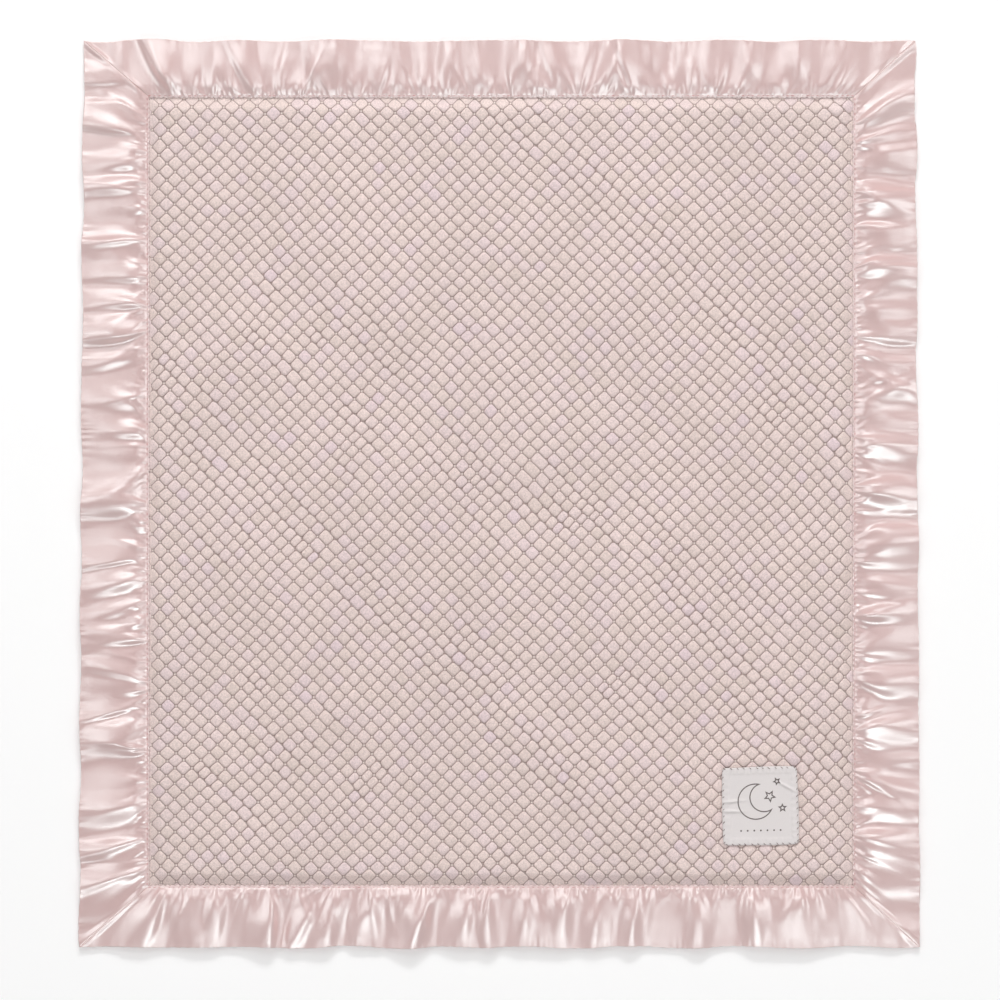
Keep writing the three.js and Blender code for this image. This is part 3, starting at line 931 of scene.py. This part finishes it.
def close_panel(mesh, low_corner, high_corner, inset, heights):
    """Cuts a field of cells to its panel, and closes it with a rim and a plain side."""
    bm = bmesh.new()
    bm.from_mesh(mesh)
    for axis in (0, 1):
        for corner, way in ((low_corner, -1), (high_corner, 1)):
            place, normal = [0, 0, 0], [0, 0, 0]
            place[axis], normal[axis] = corner[axis], way
            geometry = bm.verts[:] + bm.edges[:] + bm.faces[:]
            bmesh.ops.bisect_plane(
                bm, geom=geometry, dist=1e-7, plane_co=place, plane_no=normal, clear_outer=True
            )
    rim = [e for e in bm.edges if e.is_boundary]
    middle = [(low_corner[i] + high_corner[i]) / 2 for i in (0, 1)]
    for scale, height in zip((1.0, inset), heights):
        grown = bmesh.ops.extrude_edge_only(bm, edges=rim)["geom"]
        rim = [g for g in grown if isinstance(g, bmesh.types.BMEdge)]
        for v in (g for g in grown if isinstance(g, bmesh.types.BMVert)):
            v.co.x = middle[0] + (v.co.x - middle[0]) * scale
            v.co.y = middle[1] + (v.co.y - middle[1]) * scale
            v.co.z = height
    bmesh.ops.holes_fill(bm, edges=rim, sides=0)
    bmesh.ops.recalc_face_normals(bm, faces=bm.faces[:])
    for face in bm.faces:
        face.smooth = True
    bm.to_mesh(mesh)
    bm.free()


def plush_panel(name, node, material, up):
    """One plush panel, with its cells on the side that shows."""
    sizes = settings("plush")
    low_corner, high_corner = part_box(node)
    places, triangles, attributes = plush_cells(sizes, up < 0 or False)
    t, n = places[:, 0], places[:, 1]
    root = math.sqrt(0.5)
    x, y = wandered((t + n) * root, (n - t) * root, sizes)

    # The cells stand up from the thin edge in the seam, and the other side is plain
    full = panel_fullness(x, y, sizes)
    if up > 0:
        back_edge, back_field = low_corner[2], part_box("back_panel")[1][2] + CLEARANCE
        edge, field = back_edge + SEAM_THICKNESS, high_corner[2]
    else:
        back_edge, back_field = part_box("face_panel")[0][2] - CLEARANCE, high_corner[2]
        edge, field = back_edge - SEAM_THICKNESS, low_corner[2]
    relief = sizes.relief * (SEAM_RELIEF + (1 - SEAM_RELIEF) * full)
    z = edge + (field - edge) * full - up * relief * (1 - places[:, 2])
    if up > 0:
        z -= label_dent(x, y)
    else:
        triangles = triangles[:, ::-1]

    inside = np.ones(len(x), bool)
    for values, low, high in zip((x, y), low_corner, high_corner):
        inside &= (values > low - CUT_SPARE) & (values < high + CUT_SPARE)
    triangles = triangles[inside[triangles].all(1)]
    used = np.unique(triangles)
    remap = np.zeros(len(x), np.int64)
    remap[used] = np.arange(len(used))
    mesh = fast_mesh(name, np.stack([x, y, z], 1)[used], remap[triangles])
    for key, values in attributes.items():
        set_attribute(mesh, key, values[used])
    held = sizes.caught + sizes.taper + INSET_SPARE
    inset = 1 - 2 * held / (high_corner[0] - low_corner[0])
    close_panel(mesh, low_corner, high_corner, inset, (back_edge, back_field))
    obj = linked(name, mesh)
    finish_mesh(obj, material, node)


def label_frame():
    """Centre, half sizes and underside of the label, from the frame."""
    low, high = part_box("label_patch")
    turn = settings("label").turn
    centre = np.array([(low[0] + high[0]) / 2, (low[1] + high[1]) / 2])
    box = np.array([high[0] - low[0], high[1] - low[1]])
    c, s = math.cos(turn), abs(math.sin(turn))
    half = np.array([(c * box[0] - s * box[1]), (c * box[1] - s * box[0])]) / (c * c - s * s) / 2
    return centre, half, low[2]


def label_dent(x, y):
    """How far the label and its stitches press the pile down."""
    centre, half, _ = label_frame()
    turn = settings("label").turn
    dx, dy = x - centre[0], y - centre[1]
    a = dx * math.cos(turn) + dy * math.sin(turn)
    b = -dx * math.sin(turn) + dy * math.cos(turn)
    inside = np.minimum(half[0] - np.abs(a), half[1] - np.abs(b))
    return DENT_DEPTH * np.exp(-((inside / DENT_WIDTH) ** 2)) + np.where(inside > 0, LABEL_SINK, 0)


class BLANKET_OT_plush(bpy.types.Operator):
    """Makes the two plush panels from rows of pile cells"""

    bl_idname = "blanket.plush"
    bl_label = "Plush panels"

    def execute(self, context):
        material = knitted_plush()
        plush_panel("plush_face", "face_panel", material, 1)
        plush_panel("plush_back", "back_panel", material, -1)
        return {"FINISHED"}


# Stitches


# Share of a stitch's pitch that its thread covers on the face
STITCH_SHARE = 0.62
# How far in from the label's edge its stitches are centred, and how high over its underside
OVERCAST_IN = 0.001
OVERCAST_UP = 0.0009
# How far an overcast stitch strays along the edge
OVERCAST_STRAY = 0.0003
# Its way: out over the edge, along it and up, and how much it varies along the edge
OVERCAST_WAY = (0.6, 0.8, -0.15)
OVERCAST_SWING = 0.15


def stitch_tree(name, material):
    """Geometry Nodes: a rounded stitch on every point, turned along the point's heading."""
    tree = bpy.data.node_groups.new(name, "GeometryNodeTree")
    wanted = {
        "Geometry": "NodeSocketGeometry",
        "Length": "NodeSocketFloat",
        "Thickness": "NodeSocketFloat",
        "Seed": "NodeSocketInt",
    }
    for label, kind in wanted.items():
        tree.interface.new_socket(name=label, in_out="INPUT", socket_type=kind)
    tree.interface.new_socket(name="Geometry", in_out="OUTPUT", socket_type="NodeSocketGeometry")
    given = add(tree, "NodeGroupInput").outputs
    ball = add(tree, "GeometryNodeMeshUVSphere", {"Segments": 8, "Rings": 6, "Radius": 0.5})
    size = (given["Length"], given["Thickness"], given["Thickness"])
    size = add(tree, "ShaderNodeCombineXYZ", size)
    vary = {2: 0.88, 3: 1.1, "Seed": given["Seed"]}
    vary = add(tree, "FunctionNodeRandomValue", vary, data_type="FLOAT").outputs[1]
    scale = add(tree, "ShaderNodeVectorMath", {0: size, "Scale": vary}, operation="SCALE")
    heading = {"Name": "heading"}
    heading = add(tree, "GeometryNodeInputNamedAttribute", heading, data_type="FLOAT_VECTOR")
    turned = {"Vector": heading}
    turned = add(tree, "FunctionNodeAlignRotationToVector", turned, axis="X")
    placed = {"Points": given["Geometry"], "Instance": ball, "Rotation": turned, "Scale": scale}
    placed = add(tree, "GeometryNodeInstanceOnPoints", placed)
    real = add(tree, "GeometryNodeRealizeInstances", (placed,))
    smooth = add(tree, "GeometryNodeSetShadeSmooth", (real,))
    dressed = {"Geometry": smooth, "Material": material}
    dressed = add(tree, "GeometryNodeSetMaterial", dressed)
    add(tree, "NodeGroupOutput", (dressed,))
    return tree


def sew(name, tree, points, headings, sizes, node):
    """Sews one row of stitches as a plain mesh that stands for its thread's node."""
    guide = bpy.data.meshes.new(f"{name}_guide")
    guide.from_pydata([tuple(p) for p in points], [], [])
    layer = guide.attributes.new("heading", "FLOAT_VECTOR", "POINT")
    layer.data.foreach_set("vector", np.asarray(headings, np.float32).ravel())
    maker = linked(f"{name}_guide", guide)
    modifier = maker.modifiers.new("stitches", "NODES")
    modifier.node_group = tree
    for item in tree.interface.items_tree:
        if item.in_out == "INPUT" and item.name in sizes:
            modifier[item.identifier] = sizes[item.name]
    graph = bpy.context.evaluated_depsgraph_get()
    mesh = bpy.data.meshes.new_from_object(maker.evaluated_get(graph), depsgraph=graph)
    mesh.name = name
    bpy.data.objects.remove(maker, do_unlink=True)
    obj = linked(name, mesh)
    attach(obj, BODY)
    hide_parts(node)


def seam_points(node, pitch):
    """Middles of the stitches along a row, and the way that each one runs."""
    low, high = (np.array(corner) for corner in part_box(node))
    axis = int(np.argmax(high - low))
    run = (high - low)[axis]
    count = round(run / pitch)
    points = np.tile((low + high) / 2, (count, 1))
    points[:, axis] = low[axis] + (np.arange(count) + 0.5) * run / count
    heading = np.zeros((count, 3))
    heading[:, axis] = 1
    return points, heading


def overcast_points(sizes):
    """Where the overcast stitches cross the label's edge, and the way each one slants."""
    centre, half, low = label_frame()
    turn = settings("label").turn
    points, headings = [], []
    over, onward, up = OVERCAST_WAY
    rng = np.random.default_rng(sizes.seed)
    for side in range(4):
        angle = turn + side * math.pi / 2
        out = np.array([math.cos(angle), math.sin(angle)])
        along = np.array([-out[1], out[0]])
        reach, run = (half[0], half[1]) if side % 2 == 0 else (half[1], half[0])
        count = round(2 * run / sizes.label_pitch)
        for k in range(count):
            place = -run + (k + 0.5) * 2 * run / count + rng.normal() * OVERCAST_STRAY
            p = centre + out * (reach - OVERCAST_IN) + along * place
            slant = out * over + along * (onward + OVERCAST_SWING * rng.normal())
            points.append((*p, low + OVERCAST_UP))
            headings.append((*slant, up))
    return points, headings


class BLANKET_OT_stitches(bpy.types.Operator):
    """Sews the inner seam and overcasts the label"""

    bl_idname = "blanket.stitches"
    bl_label = "Stitches"

    def execute(self, context):
        sizes = settings("stitch")
        seam_material = spun_thread("spun_seam_thread", sizes.colour)
        label_material = spun_thread("spun_label_thread", sizes.label_colour)
        tree = stitch_tree("seam_stitches", seam_material)
        stitch = {"Length": STITCH_SHARE * sizes.pitch, "Thickness": sizes.thickness}
        seed = sizes.seed
        for face in ("front", "back"):
            for side in SIDES:
                node = f"{face}_stitch_{side}"
                points, heading = seam_points(node, sizes.pitch)
                if face == "front":
                    points[:, 2] -= CLEARANCE
                seed += 1
                stitch["Seed"] = seed
                name = f"seam_stitches_{face}_{side}"
                sew(name, tree, points, heading, stitch, node)
        tree = stitch_tree("label_stitches", label_material)
        points, heading = overcast_points(sizes)
        stitch = {"Length": sizes.label_length, "Thickness": sizes.label_thickness, "Seed": seed + 1}
        sew("label_overcast", tree, points, heading, stitch, "label_stitch")
        for corner in ("top_left", "top_right", "bottom_right", "bottom_left"):
            for face in ("front", "back"):
                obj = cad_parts[f"mitre_{face}_{corner}"]
                obj.data.materials.clear()
                obj.data.materials.append(seam_material)
        return {"FINISHED"}


# Label


# How much thicker the turned hem is, and how sharply it ends
HEM_RISE = 0.00035
HEM_EDGE = 0.0004
# Width over which the label's edge rounds down
EDGE_ROUND = 0.0016
# Height of the puckers between stitches, and of the slow waves of the cloth
LABEL_PUCKER = 0.00012
# Creases: place along and across the label, way in radians, half length and height
CREASES = (
    (-0.026, 0.0045, 0.06, 0.010, 0.0013),
    (-0.025, -0.004, -0.05, 0.009, 0.0012),
    (0.023, 0.017, -0.52, 0.008, 0.0012),
)
CREASE_SPREAD = 0.0011
# Slow waves of the cloth, along and across it: length over 2 pi, and phase
LABEL_WAVES = ((0.009, 1), (0.011, 0))
# How far the label's sides bow, and the waves in which they do, on the left and right sides and
# then on the other two: length over 2 pi, and phase
LABEL_BOW = 0.0003
BOW_WAVES = ((0.013, 2.1), (0.011, 0.7))
# How far under the label's underside in the frame its heights start, and its underside lies
TOP_SINK = 0.0002
UNDER_SINK = 0.0004
# The print: the moon's outer circle and the one that bites it, as centre and radius, the stars,
# as centre, radius and turn, and the dots, as count, spacing, place across and radius
MOON = (-0.004, 0.004, 0.0155)
MOON_BITE = (0.0035, 0.0075, 0.0125)
STARS = (
    (0.0085, 0.0085, 0.0046, 0.2),
    (0.0195, -0.002, 0.003, 0.9),
    (0.015, 0.0215, 0.0027, 0.5),
)
DOTS = (7, 0.0058, -0.0215, 0.0003)
# A star's notches, as a share of its radius, and the width over which ink fades
STAR_NOTCH = 0.46
INK_FADE = 0.0002


def label_height(a, b, inside, sizes):
    """Height of the label's top over its underside, with its hem, puckers and creases."""
    hem = 1 / (1 + np.exp((inside - sizes.hem) / HEM_EDGE))
    z = sizes.gauge + HEM_RISE * hem
    edge = np.clip(inside / EDGE_ROUND, 0, 1)
    z = z - HEM_RISE * (1 - edge) ** 2
    around = np.where(np.abs(a) > np.abs(b), b, a)
    z += LABEL_PUCKER * hem * np.sin(2 * np.pi * around / settings("stitch").label_pitch)
    for at, up, way, reach, rise in CREASES:
        da, db = a - at, b - up
        across = db * math.cos(way) - da * math.sin(way)
        run = da * math.cos(way) + db * math.sin(way)
        z += rise * np.exp(-((across / CREASE_SPREAD) ** 2)) * np.exp(-((run / reach) ** 2))
    (wave_a, phase_a), (wave_b, phase_b) = LABEL_WAVES
    z += LABEL_PUCKER * np.sin(a / wave_a + phase_a) * np.cos(b / wave_b + phase_b)
    return z


def brushed_twill(sizes):
    """Brushed cotton twill, matt with faint slanting wales, and printed in thin brown lines."""
    centre, _, _ = label_frame()
    material, tree = new_material("brushed_cotton_twill")
    places = add(tree, "ShaderNodeTexCoord").outputs["Object"]
    moved = {"Vector": places, "Location": (*centre, 0), "Rotation": (0, 0, sizes.turn)}
    moved = add(tree, "ShaderNodeMapping", moved, vector_type="TEXTURE")
    flat = add(tree, "ShaderNodeVectorMath", (moved, (1, 1, 0)), operation="MULTIPLY")

    def circle(x, y, radius):
        """Distance outside a circle, less than 0 inside it."""
        away = add(tree, "ShaderNodeVectorMath", (flat, (x, y, 0)), operation="DISTANCE")
        away = away.outputs["Value"]
        return add(tree, "ShaderNodeMath", (away, radius), operation="SUBTRACT")

    def star(x, y, radius, turn):
        """Distance outside a five-pointed star, less than 0 inside it."""
        away = add(tree, "ShaderNodeVectorMath", (flat, (x, y, 0)), operation="SUBTRACT")
        reach = add(tree, "ShaderNodeVectorMath", (away,), operation="LENGTH").outputs["Value"]
        parts = add(tree, "ShaderNodeSeparateXYZ", (away,)).outputs
        angle = add(tree, "ShaderNodeMath", (parts[1], parts[0]), operation="ARCTAN2")
        # Folds the star on to one half of a point, and measures from that half's one edge
        fifth = 2 * math.pi / 5
        notch = STAR_NOTCH * radius
        edge = (notch * math.cos(fifth / 2) - radius, notch * math.sin(fifth / 2))
        across = math.atan2(-edge[0], edge[1])
        steps = (
            ("ADD", turn + 4 * math.pi + fifth / 2),
            ("MODULO", fifth),
            ("SUBTRACT", fifth / 2),
            ("ABSOLUTE", 0),
            ("SUBTRACT", across),
            ("COSINE", 0),
            ("MULTIPLY", reach),
            ("SUBTRACT", radius * math.cos(across)),
        )
        value = angle
        for operation, other in steps:
            value = add(tree, "ShaderNodeMath", (value, other), operation=operation)
        return value

    def stroke(value):
        """1 on the line where value is 0, and a fast fade beside it."""
        away = add(tree, "ShaderNodeMath", (value,), operation="ABSOLUTE")
        away = add(tree, "ShaderNodeMath", (away, sizes.line / 2), operation="SUBTRACT")
        return add(tree, "ShaderNodeMapRange", (away, 0.0, INK_FADE, 1.0, 0.0))

    bite = add(tree, "ShaderNodeMath", (circle(*MOON_BITE), -1.0), operation="MULTIPLY")
    moon = add(tree, "ShaderNodeMath", (circle(*MOON), bite), operation="MAXIMUM")
    count, spacing, low, radius = DOTS
    dots = [circle((k - (count - 1) / 2) * spacing, low, radius) for k in range(count)]
    ink = stroke(moon)
    for shape in (*(star(*line) for line in STARS), *dots):
        ink = add(tree, "ShaderNodeMath", (ink, stroke(shape)), operation="MAXIMUM")

    grain = {"Vector": places, "Scale": 1 / TWILL_GRAIN, "Detail": 3.0}
    grain = add(tree, "ShaderNodeTexNoise", grain)
    # At a scale of 1 the texture's diagonal bands are 2 pi / (10 sqrt 2) apart
    wales = 2 * math.pi / (10 * math.sqrt(2)) / TWILL_WALE
    wales = {"Vector": moved, "Scale": wales, "Distortion": 1.5, "Detail": 1.0}
    wales = add(tree, "ShaderNodeTexWave", wales, wave_type="BANDS", bands_direction="DIAGONAL")
    level = add(tree, "ShaderNodeMapRange", (grain, 0.3, 0.7, 0.0, 0.3))
    colours = {0: level, 6: (*sizes.colour, 1), 7: (*(TWILL_SHADE * c for c in sizes.colour), 1)}
    colour = add(tree, "ShaderNodeMix", colours, data_type="RGBA").outputs[2]
    worn = add(tree, "ShaderNodeMapRange", (grain, 0.25, 0.5, 0.55, 0.95))
    printed = add(tree, "ShaderNodeMath", (ink, worn), operation="MULTIPLY")
    colours = {0: printed, 6: colour, 7: (*sizes.ink, 1)}
    height = (wales.outputs["Fac"], 0.4, grain)
    height = add(tree, "ShaderNodeMath", height, operation="MULTIPLY_ADD")
    weave = {"Height": height, "Distance": TWILL_DEPTH, "Strength": 0.7}
    shader = {
        "Base Color": add(tree, "ShaderNodeMix", colours, data_type="RGBA").outputs[2],
        "Roughness": 0.85,
        "Specular IOR Level": 0.3,
        "Sheen Weight": 0.15,
        "Normal": add(tree, "ShaderNodeBump", weave),
    }
    shader = add(tree, "ShaderNodeBsdfPrincipled", shader)
    add(tree, "ShaderNodeOutputMaterial", (shader,))
    return material


def label_mesh(sizes, centre, half, low):
    """The label's two faces on one grid, joined by a wall round their edge."""
    columns, rows = (round(2 * reach / sizes.pitch) + 1 for reach in half)
    u, v = np.meshgrid(np.linspace(-1, 1, columns), np.linspace(-1, 1, rows), indexing="ij")
    square = np.stack([u, v], -1) * half
    inside = (half - np.abs(square)).min(-1)
    # Rounds the corners
    core = half - sizes.corner
    past = np.clip(np.abs(square) - core, 0, None)
    reach = np.hypot(past[..., 0], past[..., 1])
    shrink = np.where(reach > 0, past.max(-1) / np.maximum(reach, 1e-9), 1)
    rounded = np.sign(square) * (np.minimum(np.abs(square), core) + past * shrink[..., None])
    a, b = rounded[..., 0], rounded[..., 1]
    height = label_height(a, b, inside, sizes)
    # Lets each side bow a little between its corners
    (wave_a, phase_a), (wave_b, phase_b) = BOW_WAVES
    bow_a = LABEL_BOW * np.sin(b / wave_a + phase_a) * (u**8) * np.sign(u)
    bow_b = LABEL_BOW * np.sin(a / wave_b + phase_b) * (v**8) * np.sign(v)
    a, b = a + bow_a, b + bow_b
    turn = sizes.turn
    x = centre[0] + a * math.cos(turn) - b * math.sin(turn)
    y = centre[1] + a * math.sin(turn) + b * math.cos(turn)
    top = np.stack([x, y, low - TOP_SINK + height], -1)
    under = np.stack([x, y, np.full_like(x, low - UNDER_SINK)], -1)
    count = columns * rows
    numbers = np.arange(count).reshape(columns, rows)
    sides = (numbers[0], numbers[1:, -1], numbers[-1, -2::-1], numbers[-2:0:-1, 0])
    loop = np.concatenate(sides)
    after = np.roll(loop, -1)
    walls = np.stack([loop, after, after + count, loop + count], 1)
    faces = grid_faces(columns, rows)
    places = np.concatenate([top.reshape(-1, 3), under.reshape(-1, 3)])
    mesh = fast_mesh("cloth_label", places, np.concatenate([faces[:, ::-1], faces + count, walls]))
    bm = bmesh.new()
    bm.from_mesh(mesh)
    bmesh.ops.recalc_face_normals(bm, faces=bm.faces[:])
    bm.to_mesh(mesh)
    bm.free()
    return mesh


class BLANKET_OT_label(bpy.types.Operator):
    """Makes the square cloth label with its turned hem"""

    bl_idname = "blanket.label"
    bl_label = "Label"

    def execute(self, context):
        sizes = settings("label")
        centre, half, low = label_frame()
        obj = linked("cloth_label", label_mesh(sizes, centre, half, low))
        finish_mesh(obj, brushed_twill(sizes), "label_patch")
        return {"FINISHED"}


# Stage


# Each softbox: place, size and power in watts. All of them point at the origin.
SOFTBOXES = {
    "back_softbox": ((0.3, 4.2, 2.1), (2.0, 0.7), 115),
    "north_softbox": ((-0.5, 2.9, 3.5), (2.9, 1.5), 43),
    "west_softbox": ((-2.95, 0.4, 3.45), (1.6, 2.6), 33.5),
    "east_softbox": ((2.95, 0.2, 3.45), (1.5, 2.6), 34),
    "south_softbox": ((0.4, -2.85, 3.5), (2.6, 1.0), 49),
}
FLOOR_REACH = 4.0
FLOOR_HEIGHT = -0.0002
# Where the floor starts to turn plain white for the camera, and where it is wholly so
FLOOR_FADE = (0.7, 1.3)


def softbox(name, place, size, power):
    light = bpy.data.lights.new(name, "AREA")
    light.shape = "RECTANGLE"
    light.size, light.size_y = size
    light.energy = power
    obj = linked(name, light)
    # The one at the back only casts the shadow: satin seen from low down would mirror its glare
    obj.visible_glossy = name != "back_softbox"
    pitch = math.atan2(math.hypot(place[0], place[1]), place[2])
    turn = math.atan2(-place[1], -place[0]) - math.pi / 2
    obj.location = place
    obj.rotation_euler = (pitch, 0, turn)


def studio_floor(sizes):
    """A matt white floor that shows the blanket's shadow."""
    r = FLOOR_REACH
    corners = [(x, y, FLOOR_HEIGHT) for x, y in ((-r, -r), (r, -r), (r, r), (-r, r))]
    floor = linked("floor", fast_mesh("floor", corners, [(0, 1, 2, 3)]))
    material, tree = new_material("matt_studio_floor")
    matt = {"Base Color": (*sizes.floor, 1), "Roughness": 0.9, "Specular IOR Level": 0.1}
    matt = add(tree, "ShaderNodeBsdfPrincipled", matt)
    # Past the shadow the camera sees it white, so that its far edge doesn't show
    places = add(tree, "ShaderNodeTexCoord").outputs["Object"]
    away = add(tree, "ShaderNodeVectorMath", (places,), operation="LENGTH").outputs["Value"]
    away = add(tree, "ShaderNodeMapRange", (away, *FLOOR_FADE))
    seen = add(tree, "ShaderNodeLightPath").outputs["Is Camera Ray"]
    white = add(tree, "ShaderNodeEmission", {"Color": (1, 1, 1, 1)})
    share = add(tree, "ShaderNodeMath", (away, seen), operation="MULTIPLY")
    both = add(tree, "ShaderNodeMixShader", (share, matt, white))
    add(tree, "ShaderNodeOutputMaterial", (both,))
    floor.data.materials.append(material)


def studio_world():
    """A pale tent round the blanket, open and dark overhead, that the camera sees as white."""
    world = bpy.data.worlds.new("studio")
    world.use_nodes = True
    tree = world.node_tree
    tree.nodes.clear()
    ray = add(tree, "ShaderNodeLightPath").outputs
    seen = (ray["Is Camera Ray"], ray["Is Transmission Ray"])
    seen = add(tree, "ShaderNodeMath", seen, operation="MAXIMUM")
    way = add(tree, "ShaderNodeTexCoord").outputs["Generated"]
    up = add(tree, "ShaderNodeSeparateXYZ", (way,)).outputs[2]
    tent = add(tree, "ShaderNodeMapRange", (up, 0.3, 1.0, 0.42, 0.05))
    soft = add(tree, "ShaderNodeBackground", {"Color": (1, 0.985, 0.98, 1), "Strength": tent})
    white = add(tree, "ShaderNodeBackground", {"Color": (1, 1, 1, 1), "Strength": 1.0})
    both = add(tree, "ShaderNodeMixShader", (seen, soft, white))
    add(tree, "ShaderNodeOutputWorld", (both,))
    return world


class BLANKET_OT_stage(bpy.types.Operator):
    """Sets the floor, the lights and the camera over the blanket"""

    bl_idname = "blanket.stage"
    bl_label = "Stage"

    def execute(self, context):
        sizes = settings("stage")
        scene = context.scene
        scene.view_settings.view_transform = "Standard"
        studio_floor(sizes)
        scene.world = studio_world()
        for name, (place, size, power) in SOFTBOXES.items():
            softbox(name, place, size, power)

        lens = bpy.data.cameras.new("camera")
        camera = linked("camera", lens)
        lens.sensor_width = 36
        lens.lens = lens.sensor_width * sizes.distance / (sizes.metres_per_pixel * sizes.picture)
        lens.clip_end = 20
        camera.location = (sizes.centre_right, sizes.centre_up, sizes.distance + CAD_BOX[1][2] / 2)
        scene.camera = camera
        return {"FINISHED"}


class BLANKET_PT_panel(bpy.types.Panel):
    """Lists the steps that build the blanket"""

    bl_idname = "BLANKET_PT_panel"
    bl_label = "Baby blanket"
    bl_space_type = "VIEW_3D"
    bl_region_type = "UI"
    bl_category = "Blanket"

    def draw(self, context):
        for operator in OPERATORS:
            self.layout.operator(operator.bl_idname)
        for name in SETTINGS:
            box = self.layout.box()
            box.label(text=name.capitalize())
            group = getattr(context.scene, f"blanket_{name}")
            for key in group.__annotations__:
                box.prop(group, key)


SETTINGS = {
    "border": BorderSettings,
    "plush": PlushSettings,
    "stitch": StitchSettings,
    "label": LabelSettings,
    "stage": StageSettings,
}
OPERATORS = (
    BLANKET_OT_stage,
    BLANKET_OT_plush,
    BLANKET_OT_border,
    BLANKET_OT_label,
    BLANKET_OT_stitches,
)


def register():
    for name, group in SETTINGS.items():
        bpy.utils.register_class(group)
        setattr(bpy.types.Scene, f"blanket_{name}", PointerProperty(type=group))
    for cls in (*OPERATORS, BLANKET_PT_panel):
        bpy.utils.register_class(cls)


def unregister():
    for cls in (BLANKET_PT_panel, *reversed(OPERATORS)):
        bpy.utils.unregister_class(cls)
    for name, group in reversed(SETTINGS.items()):
        delattr(bpy.types.Scene, f"blanket_{name}")
        bpy.utils.unregister_class(group)


def main():
    register()
    bpy.ops.blanket.stage()
    bpy.ops.blanket.plush()
    bpy.ops.blanket.border()
    bpy.ops.blanket.label()
    bpy.ops.blanket.stitches()


if __name__ == "__main__":
    main()
